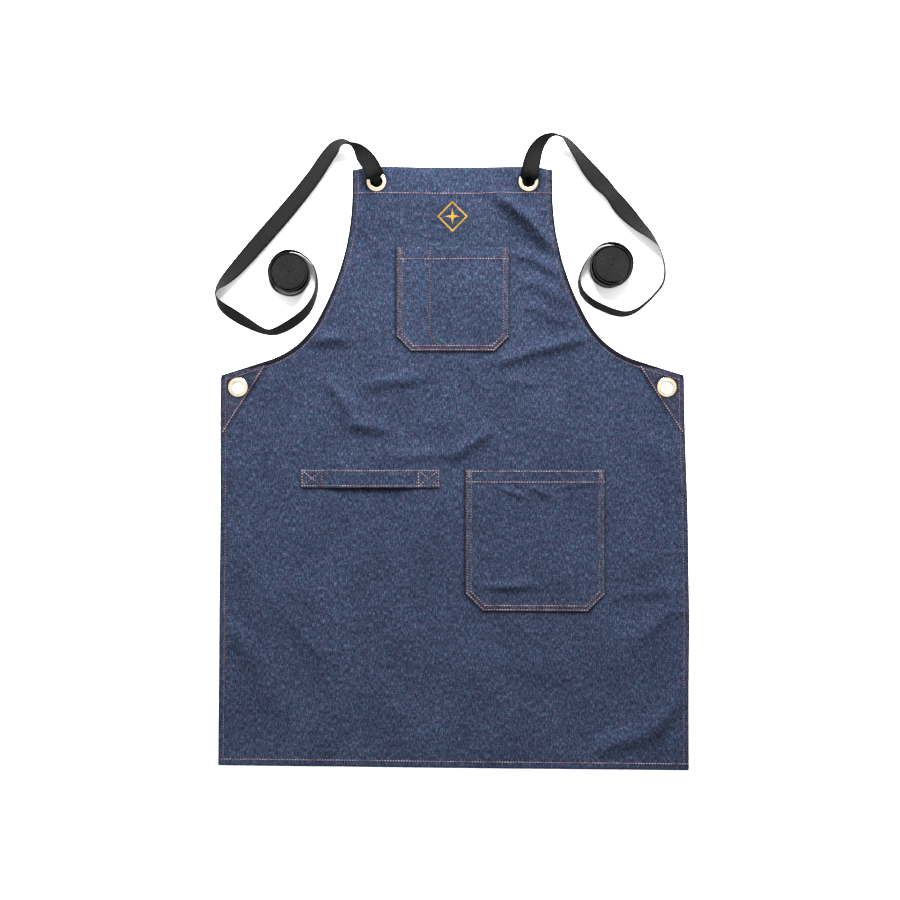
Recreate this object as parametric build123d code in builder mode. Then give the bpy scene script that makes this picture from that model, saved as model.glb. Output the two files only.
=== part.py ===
from build123d import *
from math import cos, radians, sin, tan
import os

# A cross-back work apron in denim, lying flat on its back, with its two webbing straps partly rolled up.
# Millimetres. The origin is on the table under the middle of the apron, +Y runs up to the bib, +Z is up.

# The apron's cut
apron_length = 840.0
hem_width = 658.0
corner_width = 646.8
bib_width = 277.2
side_length = 550.0  # from the bottom edge up to the side corners
armhole_upper_bend = 0.5676  # where the armhole bends, as shares of its height and of its depth
armhole_lower_bend = 0.1207
armhole_lower_depth = 0.398
upper_arc_share = 0.67  # how much of the middle run each of the two arcs takes
lower_arc_share = 0.32

# Cloth and hems
cloth = 1.0
hem_thickness = 2.4
top_hem = 37.5
bottom_hem = 10.0
side_hem = 8.0
armhole_margin = 11.0

# The bib is lifted by the strap knots behind it
bib_lift = 10.5
ramp_start_drop = 110.0  # below the top edge
ramp_end_drop = 45.0

# Binding tape round the armholes
tape = 0.5
tape_front_leg = 6.0
tape_back_leg = 10.0

# Corner patches: where the diagonal crosses the two edges, measured from the side corner
patch_along_armhole = 65.4
patch_along_side = 83.0
patch_lean = 8.4  # how far in from the corner the diagonal meets the side hem

# Eyelets
eyelet_bore_r = 8.2
barrel_wall = 0.75
flange_r = 13.75
flange_height = 0.9
washer_r = 12.0
washer_thickness = 0.6
metal_clearance = 0.05
bib_eyelet_inset = 32.8  # from the bib's side edge
bib_eyelet_drop = 20.3  # from the top edge
side_eyelet_inset = 23.4  # from the side corner
side_eyelet_drop = 16.0

# Patch pockets and the towel loop
pocket_gap = 6.0  # how far the cloth of a pocket stands off the panel
seam_margin = 9.5
chest_left = -78.0
chest_width = 157.0
chest_drop = 111.0  # from the top edge of the apron to the mouth
chest_height = 145.0
chest_chamfer = 20.0
chest_pouch_chamfer = 16.0
pen_slot_width = 46.5
chest_slope = 12.0
hand_left = 19.0
hand_width = 194.6
hand_drop = 422.0
hand_height = 198.0
hand_chamfer = 24.0
hand_pouch_chamfer = 18.0
hand_slope = 20.0
loop_left = -212.0
loop_width = 195.0
loop_drop = 421.0
loop_height = 25.6
loop_foot = 30.0
loop_ramp = 10.0
loop_thickness = 1.2

# Topstitching
thread = 0.9
thread_height = 0.4
row_inset = 2.0
row_spacing = 5.8
top_stitch = 36.0
bottom_stitch = 8.5
side_stitch = 6.5
armhole_stitch = 9.0
tack_length = 9.0

# Embroidered mark: a plain lozenge with a four-pointed star in it
mark_drop = 68.0
mark_size = 43.0
mark_line = 2.2
star_r = 11.0
star_waist = 3.2

# Straps
strap_width = 25.0
strap_thickness = 1.6
gathered_width = 13.0  # the webbing curls up to pass the eyelet
gathered_thickness = 3.1
knot_length = 34.0
knot_width = 26.0
knot_height = 9.6
knot_round = 4.0
roll_r = 31.85
run_sections = 110

# The route of each strap's free run: x and y from the eyelet's axis, the height of the webbing's middle,
# and its lean in degrees (0 stands on edge, 90 lies flat with its upper edge on the inside of the turn).
left_route = [
    (0, 0, 9, -90), (0, 0, 24, -90), (-1.6, 6.2, 34, -85), (-7.8, 21, 35, -72), (-17.7, 35.5, 32, -50),
    (-29.7, 47.5, 27, -24), (-41.9, 53.9, 22, 4), (-55, 50.2, 18, 30), (-68.3, 35.2, 13.5, 50),
    (-87.6, 6.2, 8.5, 65), (-124.7, -39.2, 5.6, 74), (-161.7, -81, 5.4, 75), (-194.3, -119.2, 7.4, 64),
    (-213.2, -139.5, 11, 42), (-224.3, -151.6, 13.2, 12), (-223.3, -162.6, 13.3, 5),
    (-214, -175.4, 11.9, 31), (-197.2, -186.9, 11.4, 38), (-177.6, -198.3, 11.9, 31),
    (-162.5, -206.3, 12.6, 20), (-149.8, -210.7, 13.1, 12), (-138.9, -208.8, 12.8, 20),
    (-121.8, -200.3, 12.3, 25), (-102.5, -186.4, 12.5, 22), (-91.9, -173.2, 13, 14),
    (-84.9, -158.3, 13.2, 6), (-82, -142.4, 13.2, 2), (-83.9, -125, 13.2, 0), (-90.5, -110.8, 13.2, 0),
    (-103, -101.5, 13.2, 0),
]
right_route = [
    (0, 0, 9, -90), (0, 0, 24, -90), (0.5, 6.2, 34, -85), (3.5, 23.7, 36, -72), (9.6, 41.2, 33.5, -46),
    (20.4, 54.8, 30, -20), (33.9, 62.3, 27, 2), (47, 60.1, 23, 16), (57.7, 50.9, 19.5, 24),
    (69, 37, 14.5, 42), (85.4, 16.2, 8.5, 66), (102.7, -2.2, 5.5, 76), (115.7, -16.4, 9.6, 52),
    (130.6, -35.6, 5, 82), (153.6, -60.5, 8.7, 52), (168.7, -73.9, 11.7, 31), (182.4, -90, 13.2, 4),
    (187.9, -106.9, 13.2, 8), (190.7, -124.8, 13.2, 9), (188.4, -140.7, 13.2, 5),
    (180.4, -152.1, 13.2, 0), (164.5, -169, 13.2, 0), (149.6, -180.5, 13.2, 8),
    (134.8, -185.4, 12.9, 17), (120.9, -182.9, 12.6, 21), (105, -176.9, 12.6, 20),
    (90, -169.5, 12.7, 19), (78.1, -159.6, 13, 14), (71.4, -148.7, 13.2, 5), (69.6, -134.7, 13.2, 0),
    (75.7, -118.3, 13.2, 0), (84.1, -103.8, 13.2, 0), (97, -91.2, 13.2, 0),
]
left_roll_centre = (-120.7, -127.2)
right_roll_centre = (115.2, -117.2)

# Places worked out from the sizes
top_y = apron_length / 2
bottom_y = -apron_length / 2
corner_y = bottom_y + side_length
half_bib = bib_width / 2
half_corner = corner_width / 2
half_hem = hem_width / 2
barrel_r = eyelet_bore_r + barrel_wall
eyelet_height = hem_thickness + flange_height
bib_eyelet_x = half_bib - bib_eyelet_inset
bib_eyelet_y = top_y - bib_eyelet_drop
side_eyelet_x = half_corner - side_eyelet_inset
side_eyelet_y = corner_y - side_eyelet_drop
tallest = bib_lift + eyelet_height + pocket_gap
sides = {"left": -1, "right": 1}

os.makedirs("parts", exist_ok=True)


def save(part, name):
    part.label = name
    export_step(part, f"parts/{name}.step")
    print(f"{name}: {part.volume:.0f} mm3")


def bend_radius(before, corner, after, reach):
    """The radius of an arc that starts this far before the corner."""
    turn = (corner - before).get_angle(after - corner)
    return reach / tan(radians(turn / 2))


def layer(low, high):
    """A slab between two heights above the underside of the cloth, which climbs to the lifted bib."""
    past = top_y + top_hem
    start = top_y - ramp_start_drop
    end = top_y - ramp_end_drop
    lower = [(-past, low), (start, low), (end, low + bib_lift), (past, low + bib_lift)]
    upper = [(past, high + bib_lift), (end, high + bib_lift), (start, high), (-past, high)]
    with BuildPart() as slab:
        with BuildSketch(Plane.YZ):
            Polygon(*lower, *upper, align=None)
        extrude(amount=hem_width, both=True)
    return slab.part


def on_cloth(low, high):
    """Raises the current sketch and keeps what lies between two heights above the cloth's underside."""
    extrude(amount=tallest)
    add(layer(low, high), mode=Mode.INTERSECT)


def armhole(side):
    """One concave edge, from the bib's top to the side corner: two arcs between straight stretches."""
    rise = top_y - corner_y
    depth = half_corner - half_bib
    points = [
        Vector(side * half_bib, top_y),
        Vector(side * half_bib, corner_y + armhole_upper_bend * rise),
        Vector(side * (half_bib + armhole_lower_depth * depth), corner_y + armhole_lower_bend * rise),
        Vector(side * half_corner, corner_y),
    ]
    run = (points[2] - points[1]).length
    upper = bend_radius(*points[:3], upper_arc_share * run)
    lower = bend_radius(*points[1:], lower_arc_share * run)
    return FilletPolyline(*points, radius=[upper, lower], mode=Mode.PRIVATE)


# The apron's outline and the strips along its edges

left_armhole = armhole(-1)
right_armhole = armhole(1)
armholes = {"left": left_armhole, "right": right_armhole}
top_edge = Line(left_armhole @ 0, right_armhole @ 0, mode=Mode.PRIVATE)
bottom_edge = Line((-half_hem, bottom_y), (half_hem, bottom_y), mode=Mode.PRIVATE)
left_edge = Line(left_armhole @ 1, bottom_edge @ 0, mode=Mode.PRIVATE)
right_edge = Line(right_armhole @ 1, bottom_edge @ 1, mode=Mode.PRIVATE)
side_edges = {"left": left_edge, "right": right_edge}

with BuildSketch() as outline:
    with BuildLine():
        add([left_armhole, top_edge, right_armhole, right_edge, bottom_edge, left_edge])
    make_face()


def edge_strip(edge, width):
    """The strip of the apron within a distance of one edge."""
    with BuildSketch() as strip:
        trace(edge, 2 * width)
        add(outline.sketch, mode=Mode.INTERSECT)
    return strip.sketch


def stitch_line(edge, distance):
    """A row of thread at a distance inside an edge."""
    with BuildSketch() as row:
        add(edge_strip(edge, distance + thread / 2))
        add(edge_strip(edge, distance - thread / 2), mode=Mode.SUBTRACT)
    return row.sketch


with BuildSketch() as hem_ring:
    add(edge_strip(top_edge, top_hem))
    add(edge_strip(bottom_edge, bottom_hem))
    for side in sides:
        add(edge_strip(side_edges[side], side_hem))
        add(edge_strip(armholes[side], armhole_margin))

eyelet_places = {}
for side, sign in sides.items():
    eyelet_places[f"{side}_bib"] = (sign * bib_eyelet_x, bib_eyelet_y, bib_lift)
    eyelet_places[f"{side}_side"] = (sign * side_eyelet_x, side_eyelet_y, 0)

# Armhole bindings: a front leg, a back leg and the fold round the edge between them

bindings = {}
for side in sides:
    with BuildPart() as back_leg:
        add(edge_strip(armholes[side], tape_back_leg))
        on_cloth(0, tape)
    with BuildPart() as fold:
        add(edge_strip(armholes[side], tape))
        on_cloth(0, hem_thickness)
    with BuildPart() as binding:
        add(edge_strip(armholes[side], tape_front_leg))
        on_cloth(hem_thickness - tape, hem_thickness)
        add([back_leg.part, fold.part])
    bindings[side] = binding.part
    save(binding.part, f"{side}_armhole_binding")

# Body panel: the field of the cloth, the thicker hems, and the holes and seats for the eyelets

with BuildPart() as hems:
    add(hem_ring.sketch)
    on_cloth(0, hem_thickness)

with BuildPart() as body_panel:
    add(outline.sketch)
    on_cloth(0, cloth)
    add(hems.part)
    for x, y, base in eyelet_places.values():
        with Locations((x, y, base)):
            washer_seat = (Align.CENTER, Align.CENTER, Align.MIN)
            Cylinder(barrel_r + metal_clearance, hem_thickness, align=washer_seat, mode=Mode.SUBTRACT)
            Cylinder(washer_r + metal_clearance, washer_thickness, align=washer_seat, mode=Mode.SUBTRACT)
    add(list(bindings.values()), mode=Mode.SUBTRACT)
save(body_panel.part, "body_panel")

# Corner patches: a triangle in front of each side corner, flush with the hems around it

patch_edges = {}
for side, sign in sides.items():
    corner = armholes[side] @ 1
    upper = (corner.X - sign * patch_along_armhole, corner.Y + tape_back_leg)
    lower = (corner.X - sign * patch_lean, corner.Y - patch_along_side)
    patch_edges[side] = Line(upper, lower, mode=Mode.PRIVATE)
    direction = patch_edges[side] % 0
    beyond = direction * patch_along_side
    with BuildPart() as corner_patch:
        with BuildSketch():
            Polygon(
                Vector(*upper) - beyond,
                Vector(*lower) + beyond,
                (corner.X + sign * patch_along_side, lower[1] - patch_along_side),
                (corner.X + sign * patch_along_side, corner.Y + patch_along_side),
                align=None,
            )
            add(outline.sketch, mode=Mode.INTERSECT)
            add(hem_ring.sketch, mode=Mode.SUBTRACT)
            with Locations((sign * side_eyelet_x, side_eyelet_y)):
                Circle(barrel_r + metal_clearance, mode=Mode.SUBTRACT)
        on_cloth(cloth, hem_thickness)
    save(corner_patch.part, f"{side}_corner_patch")

# Eyelets: a barrel through the cloth with a rounded front flange, and a washer behind

with BuildPart() as eyelet:
    with BuildSketch(Plane.XZ):
        with BuildLine():
            Polyline(
                (flange_r, hem_thickness), (barrel_r, hem_thickness), (barrel_r, 0),
                (eyelet_bore_r, 0), (eyelet_bore_r, eyelet_height - flange_height / 3),
            )
            Spline(
                (eyelet_bore_r, eyelet_height - flange_height / 3),
                ((barrel_r + flange_r) / 2, eyelet_height),
                (flange_r, hem_thickness),
                tangents=[(0, 1), (0.2, -1)],
            )
        make_face()
    revolve(axis=Axis.Z)

with BuildPart() as washer:
    Cylinder(washer_r, washer_thickness, align=(Align.CENTER, Align.CENTER, Align.MIN))
    Hole(barrel_r + metal_clearance)

for name, place in eyelet_places.items():
    save(eyelet.part.moved(Location(place)), f"{name}_eyelet")
    save(washer.part.moved(Location(place)), f"{name}_washer")


# Patch pockets: sewn flat round the edge, standing off the panel in the middle, open at the mouth


def pocket_corners(left, right, bottom, top, chamfers, inset=0.0):
    """A patch outline with its two lower corners cut off, or the same outline drawn further in."""
    left, right, bottom = left + inset, right - inset, bottom + inset
    left_cut, right_cut = [max(chamfer - inset * (2 - 2**0.5), cloth) for chamfer in chamfers]
    return [
        (left, top), (left, bottom + left_cut), (left + left_cut, bottom),
        (right - right_cut, bottom), (right, bottom + right_cut), (right, top),
    ]


def pouch(foot, slope, base, rise):
    """The solid under a sheet that climbs from a patch outline at one height to a smaller one above it."""
    with BuildPart() as heap:
        with BuildSketch(Plane.XY.offset(base)):
            Polygon(*pocket_corners(*foot), align=None)
        with BuildSketch(Plane.XY.offset(base + rise)):
            Polygon(*pocket_corners(*foot, slope), align=None)
        loft(ruled=True)
    return heap.part


def patch_pocket(left, width, mouth, height, chamfer, pouch_chamfer, slope, dividers):
    """One patch of cloth with a pouch between each pair of seams."""
    right = left + width
    bottom = mouth - height
    walls = [left + seam_margin, *dividers, right - seam_margin]
    cuts = [pouch_chamfer, *[cloth for divider in dividers], pouch_chamfer]
    spaces = zip(walls[::2], walls[1::2], cuts[::2], cuts[1::2])
    feet = [(near, far, bottom + seam_margin, mouth + seam_margin, pair) for near, far, *pair in spaces]
    with BuildPart() as pocket:
        with BuildSketch(Plane.XY.offset(cloth)):
            Polygon(*pocket_corners(left, right, bottom, mouth, (chamfer, chamfer)), align=None)
        extrude(amount=cloth)
        for base, mode in ((2 * cloth, Mode.ADD), (cloth, Mode.SUBTRACT)):
            for foot in feet:
                add(pouch(foot, slope, base, pocket_gap), mode=mode)
        split(bisect_by=Plane.XZ.offset(-mouth), keep=Keep.TOP)
    return pocket.part


pen_seam_x = chest_left + pen_slot_width
chest_mouth = top_y - chest_drop
hand_mouth = top_y - hand_drop
pen_dividers = [pen_seam_x - thread, pen_seam_x + thread]
chest_patch = (chest_left, chest_width, chest_mouth, chest_height, chest_chamfer)
hand_patch = (hand_left, hand_width, hand_mouth, hand_height, hand_chamfer)
save(patch_pocket(*chest_patch, chest_pouch_chamfer, chest_slope, pen_dividers), "chest_pocket")
save(patch_pocket(*hand_patch, hand_pouch_chamfer, hand_slope, []), "hand_pocket")

# Towel loop: a strip sewn down at both ends that stands off the panel between them

loop_right = loop_left + loop_width
loop_top = top_y - loop_drop
loop_profile = [
    (loop_left, cloth),
    (loop_left + loop_foot, cloth),
    (loop_left + loop_foot + loop_ramp, cloth + pocket_gap),
    (loop_right - loop_foot - loop_ramp, cloth + pocket_gap),
    (loop_right - loop_foot, cloth),
    (loop_right, cloth),
]
with BuildPart() as towel_loop:
    with BuildSketch(Plane.XZ.offset(-loop_top)):
        Polygon(*loop_profile, *[(x, z + loop_thickness) for x, z in reversed(loop_profile)], align=None)
    extrude(amount=loop_height)
save(towel_loop.part, "towel_loop")

# Topstitching


def save_thread(sketch, low, name):
    with BuildPart() as seam:
        add(sketch)
        on_cloth(low, low + thread_height)
    save(seam.part, name)


def double_row(left, width, mouth, height, chamfer):
    """Two rows of thread inside a patch outline, which stop short of its mouth."""
    right = left + width
    bottom = mouth - height
    with BuildSketch() as rows:
        for inset in (row_inset, row_inset + row_spacing):
            for line, mode in ((0, Mode.ADD), (thread, Mode.SUBTRACT)):
                chamfers = (chamfer, chamfer)
                corners = pocket_corners(left, right, bottom, mouth + thread, chamfers, inset + line)
                Polygon(*corners, align=None, mode=mode)
        with Locations((left + width / 2, mouth)):
            Rectangle(width, 2 * thread, mode=Mode.SUBTRACT)
    return rows.sketch


save_thread(stitch_line(top_edge, top_stitch), hem_thickness, "top_hem_seam")
save_thread(stitch_line(bottom_edge, bottom_stitch), hem_thickness, "bottom_hem_seam")
for side, sign in sides.items():
    with BuildSketch() as side_row:
        add(stitch_line(side_edges[side], side_stitch))
        add(edge_strip(bottom_edge, bottom_stitch + thread), mode=Mode.SUBTRACT)
    save_thread(side_row.sketch, hem_thickness, f"{side}_side_seam")
    with BuildSketch() as armhole_row:
        add(stitch_line(armholes[side], armhole_stitch))
        add(edge_strip(side_edges[side], side_stitch + thread), mode=Mode.SUBTRACT)
        add(edge_strip(top_edge, top_stitch + thread), mode=Mode.SUBTRACT)
        with Locations((sign * side_eyelet_x, side_eyelet_y)):
            Circle(flange_r + metal_clearance, mode=Mode.SUBTRACT)
    save_thread(armhole_row.sketch, hem_thickness, f"{side}_armhole_seam")
    inward = Vector(sign * patch_along_side, patch_along_armhole).normalized() * row_inset
    shifted = patch_edges[side].moved(Location(inward))
    with BuildSketch() as patch_row:
        trace(shifted, thread)
        add(hem_ring.sketch, mode=Mode.SUBTRACT)
    save_thread(patch_row.sketch, hem_thickness, f"{side}_patch_seam")

save_thread(double_row(*chest_patch), 2 * cloth, "chest_pocket_seam")
save_thread(double_row(*hand_patch), 2 * cloth, "hand_pocket_seam")

with BuildSketch() as tacks:
    for left, width, mouth in ((chest_left, chest_width, chest_mouth), (hand_left, hand_width, hand_mouth)):
        with Locations(
            (left + row_inset + row_spacing / 2, mouth - tack_length),
            (left + width - row_inset - row_spacing / 2, mouth - tack_length),
        ):
            Rectangle(row_spacing - 2 * thread, tack_length)
save_thread(tacks.sketch, 2 * cloth, "pocket_bar_tacks")

row_length = loop_foot - 2 * row_inset
row_height = loop_height - 2 * row_inset
with BuildSketch() as loop_rows:
    for foot in (loop_left + loop_foot / 2, loop_right - loop_foot / 2):
        with Locations((foot, loop_top - loop_height / 2)):
            Rectangle(row_length, row_height)
            Rectangle(row_length - 2 * thread, row_height - 2 * thread, mode=Mode.SUBTRACT)
save_thread(loop_rows.sketch, cloth + loop_thickness, "towel_loop_seam")

# Embroidered mark

with BuildSketch() as mark:
    with Locations((0, top_y - mark_drop)):
        RegularPolygon(mark_size / 2, 4, rotation=90)
        RegularPolygon(mark_size / 2 - mark_line * 2**0.5, 4, rotation=90, mode=Mode.SUBTRACT)
        star = []
        for quarter in range(4):
            for reach, angle in ((star_r, radians(90 * quarter)), (star_waist, radians(90 * quarter + 45))):
                star.append((reach * cos(angle), reach * sin(angle)))
        Polygon(*star, align=None)
save_thread(mark.sketch, cloth, "embroidered_mark")


# Straps: the knot behind the bib, the free run and the roll


def free_run(route, eyelet_x, eyelet_y, inward):
    """The webbing from the knot to the roll, built through sections that turn with its lean."""
    points = [Vector(eyelet_x + x, eyelet_y + y, z) for x, y, z, lean in route]
    runs = [(far - near).length for near, far in zip(points, points[1:])]
    radii = []
    for index in range(1, len(points) - 1):
        reach = 0.45 * min(runs[index - 1], runs[index])
        radii.append(bend_radius(points[index - 1], points[index], points[index + 1], reach))
    path = FilletPolyline(*points, radius=radii, mode=Mode.PRIVATE)
    print("run", round(path.length), "mm, radii", [round(radius) for radius in radii])
    headings = []
    for index in range(len(points)):
        ahead = points[min(max(index, 1) + 1, len(points) - 1)]
        behind = points[min(max(index, 1), len(points) - 1) - 1]
        headings.append(Vector(ahead.X - behind.X, ahead.Y - behind.Y).normalized())
    uprights = []
    for heading, (x, y, z, lean) in zip(headings, route):
        aside = Vector(-heading.Y, heading.X) * inward
        uprights.append(aside * sin(radians(lean)) + Vector(0, 0, cos(radians(lean))))
    reached = [sum(runs[:index]) / sum(runs) for index in range(len(points))]
    with BuildPart() as run:
        for step in range(run_sections + 1):
            share = step / run_sections
            near = max(index for index, value in enumerate(reached[:-1]) if value <= share)
            mix = (share - reached[near]) / (reached[near + 1] - reached[near])
            upright = uprights[near] * (1 - mix) + uprights[near + 1] * mix
            spread = min(max(0, share * path.length - knot_height) / strap_width, 1)
            width = gathered_width + (strap_width - gathered_width) * spread
            thickness = gathered_thickness + (strap_thickness - gathered_thickness) * spread
            along = path % share
            across = (upright - along * upright.dot(along)).normalized()
            with BuildSketch(Plane(path @ share, x_dir=across, z_dir=along)):
                Rectangle(width, thickness)
        loft(ruled=True)
    expected = strap_width * strap_thickness * path.length
    print("volume against section times length:", round(run.part.volume / expected, 3))
    return run.part


with BuildPart() as knot:
    Box(knot_length, knot_width, knot_height, align=(Align.CENTER, Align.CENTER, Align.MIN))
    fillet(knot.edges(), radius=knot_round)

routes = {"left": (left_route, left_roll_centre), "right": (right_route, right_roll_centre)}
for side, (route, (roll_x, roll_y)) in routes.items():
    eyelet_x = sides[side] * bib_eyelet_x
    save(knot.part.moved(Location((eyelet_x, bib_eyelet_y, 0))), f"{side}_strap_knot")
    save(free_run(route, eyelet_x, bib_eyelet_y, -sides[side]), f"{side}_strap_run")
    with BuildPart() as roll:
        with Locations((eyelet_x + roll_x, bib_eyelet_y + roll_y)):
            Cylinder(roll_r, strap_width, align=(Align.CENTER, Align.CENTER, Align.MIN))
    save(roll.part, f"{side}_strap_roll")
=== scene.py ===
# %% [markdown]
# # A denim work apron, lying flat
# This lesson dresses a imported CAD apron in Blender. The CAD gives the frame: where the bodies are,
# how large they are and how they move. Each cell below makes one piece or one finish of the apron.
# We start by loading that frame.

# %% Load the frame
from math import atan2, cos, exp, hypot, pi, radians, sin, sqrt, tan

import bmesh
import bpy
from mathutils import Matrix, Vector, kdtree, noise


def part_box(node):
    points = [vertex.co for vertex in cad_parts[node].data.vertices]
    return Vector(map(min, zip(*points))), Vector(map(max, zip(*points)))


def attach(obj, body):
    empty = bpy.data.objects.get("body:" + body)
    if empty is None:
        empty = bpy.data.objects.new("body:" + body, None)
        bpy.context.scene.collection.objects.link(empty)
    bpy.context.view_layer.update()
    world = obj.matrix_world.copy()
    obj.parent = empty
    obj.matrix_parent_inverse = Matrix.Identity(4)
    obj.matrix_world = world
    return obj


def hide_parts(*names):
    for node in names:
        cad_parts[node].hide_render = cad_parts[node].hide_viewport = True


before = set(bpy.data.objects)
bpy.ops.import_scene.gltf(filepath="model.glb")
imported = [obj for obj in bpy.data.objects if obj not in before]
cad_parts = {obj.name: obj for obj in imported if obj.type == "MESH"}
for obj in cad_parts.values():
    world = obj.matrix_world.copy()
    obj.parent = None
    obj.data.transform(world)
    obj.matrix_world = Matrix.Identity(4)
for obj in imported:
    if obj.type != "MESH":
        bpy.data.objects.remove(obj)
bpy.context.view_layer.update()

mm = 0.001

# %% [markdown]
# ## The camera
# The apron is looked at from straight above, as a flat lay in a catalogue is. A camera without any turn
# already looks down, with +Y at the top of the picture. We hang it a little over two metres up and choose
# the lens so that 1.26 m of floor fills the frame.

# %% Camera
scene = bpy.context.scene


def add_object(name, data):
    thing = bpy.data.objects.new(name, data)
    scene.collection.objects.link(thing)
    return thing


camera_height = 2.2
floor_in_view = 1.26
camera_data = bpy.data.cameras.new("overhead_camera")
camera_data.lens = camera_data.sensor_width * camera_height / floor_in_view
camera = add_object("overhead_camera", camera_data)
camera.location = (-3.4 * mm, 25.9 * mm, camera_height)
scene.camera = camera
scene.view_settings.view_transform = "Standard"
print("lens", round(camera_data.lens, 1), "mm")

# %% [markdown]
# ## The line of each strap
# Each strap is a flat cotton webbing, 25 mm wide. It comes up out of its eyelet, arches over the bib's
# edge, drops to the floor and turns on its edge into a roll. A soft strap has no straight tubes and no
# corners, so its line is one NURBS spline, and the route's points are the spline's control points. A fourth
# number at each point says how the webbing leans: 0 stands on edge, 90 lies flat.

# %% Strap routes
left_route = [
    (0, 2.7, 9, -90), (0, 3.0, 22, -90), (-1.6, 6.8, 34, -85), (-7.8, 21, 35, -72), (-18.6, 34, 32, -60),
    (-30, 44.5, 27, -20), (-41.9, 52.5, 22, 28), (-55, 50.2, 18, 50), (-68.3, 35.2, 13.5, 60),
    (-87.6, 6.2, 8.5, 65), (-124.7, -39.2, 5.6, 74), (-161.7, -81, 5.4, 75), (-194.3, -119.2, 7.4, 64),
    (-213.2, -139.5, 11, 42), (-224.3, -151.6, 13.2, 12), (-223.3, -162.6, 13.3, 5),
    (-214, -175.4, 11.9, 31), (-197.2, -186.9, 11.4, 38), (-177.6, -198.3, 11.9, 31),
    (-162.5, -206.3, 12.6, 20), (-149.8, -210.7, 13.1, 12), (-138.9, -208.8, 12.8, 20),
    (-121.8, -200.3, 12.3, 25), (-102.5, -186.4, 12.5, 22), (-91.9, -173.2, 13, 14),
    (-84.9, -158.3, 13.2, 6), (-82, -142.4, 13.2, 2), (-83.9, -125, 13.2, 0), (-90.5, -110.8, 13.2, 0),
    (-103, -101.5, 13.2, 0),
]
right_route = [
    (0, 2.7, 9, -90), (0, 3.0, 22, -90), (0.5, 6.8, 34, -85), (3.5, 23.7, 36, -72), (9.6, 41.2, 33.5, -50),
    (20.4, 54.8, 30, -26), (33.9, 62.3, 27, 2), (47, 60.1, 23, 22), (57.7, 50.9, 19.5, 32),
    (69, 37, 14.5, 42), (85.4, 16.2, 8.5, 66), (102.7, -2.2, 5.5, 76), (115.7, -16.4, 9.6, 52),
    (130.6, -35.6, 5, 82), (153.6, -60.5, 8.7, 52), (168.7, -73.9, 11.7, 31), (182.4, -90, 13.2, 8),
    (187.9, -106.9, 13.2, 11), (190.7, -124.8, 13.2, 12), (188.4, -140.7, 13.2, 9),
    (180.4, -152.1, 13.2, 7), (164.5, -169, 13.2, 7), (149.6, -180.5, 13.2, 10),
    (134.8, -185.4, 12.9, 12), (120.9, -182.9, 12.6, 15), (105, -176.9, 12.6, 14),
    (90, -169.5, 12.7, 14), (78.1, -159.6, 13, 11), (71.4, -148.7, 13.2, 5), (69.6, -134.7, 13.2, 0),
    (75.7, -118.3, 13.2, 0), (84.1, -103.8, 13.2, 0), (97, -91.2, 13.2, 0),
]
routes = {"left": left_route, "right": right_route}
outwards = {"left": -1, "right": 1}


def middle(node):
    """The middle of a CAD node's box, and its lowest and highest points."""
    low, high = (Vector(corner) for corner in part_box(node))
    return (low + high) / 2, low.z, high.z


def along_spline(control_points):
    """The points of a smooth spline that has these control points."""
    data = bpy.data.curves.new("guide", "CURVE")
    data.dimensions = "3D"
    data.resolution_u = 10
    spline = data.splines.new("NURBS")
    spline.points.add(len(control_points) - 1)
    for point, place in zip(spline.points, control_points):
        point.co = (*place, 1)
    spline.order_u = 3
    spline.use_endpoint_u = True
    guide = add_object("guide", data)
    bpy.context.view_layer.update()
    mesh = bpy.data.meshes.new_from_object(guide)
    points = [vertex.co.copy() for vertex in mesh.vertices]
    bpy.data.objects.remove(guide)
    bpy.data.meshes.remove(mesh)
    return points


strap_lines, strap_leans = {}, {}
for side, route in routes.items():
    eyelet, *_ = middle(f"{side}_bib_eyelet")
    strap_lines[side] = along_spline([(eyelet.x + x * mm, eyelet.y + y * mm, z * mm) for x, y, z, _ in route])
    strap_leans[side] = [p.y for p in along_spline([(step, lean, 0) for step, (*_, lean) in enumerate(route)])]
    length = sum((b - a).length for a, b in zip(strap_lines[side], strap_lines[side][1:]))
    print(side, "run", round(length * 1000), "mm,", len(strap_lines[side]), "points")

# %% [markdown]
# ## Small helpers
# A maker's hand tools: one eases a value between two limits, one gives the direction of a line, one skins a
# row of rings, one turns lists of points and faces into a piece with its faces outwards, and one reads back
# what the modifiers made. Every piece stands at the origin and keeps its place in its mesh, so patterns and
# poses stay true.

# %% Hand tools
def ease(value, start, end):
    """0 before start, 1 after end, and a soft slope between them."""
    share = min(max((value - start) / (end - start), 0), 1)
    return share * share * (3 - 2 * share)


def way_along(line, index):
    """The direction of a line of points at one of them."""
    return (line[min(index + 1, len(line) - 1)] - line[max(index - 1, 0)]).normalized()


def tube_faces(rings, size, closed=False):
    """The faces that join rings of points, each ring to the next."""
    faces = []
    for ring in range(rings if closed else rings - 1):
        here, there = ring * size, (ring + 1) % rings * size
        for corner in range(size):
            after = (corner + 1) % size
            faces.append((here + corner, here + after, there + after, there + corner))
    return faces


def finished_mesh(thing):
    """A plain mesh of an object with its modifiers or its bevel applied."""
    bpy.context.view_layer.update()
    return bpy.data.meshes.new_from_object(thing.evaluated_get(bpy.context.evaluated_depsgraph_get()))


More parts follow.
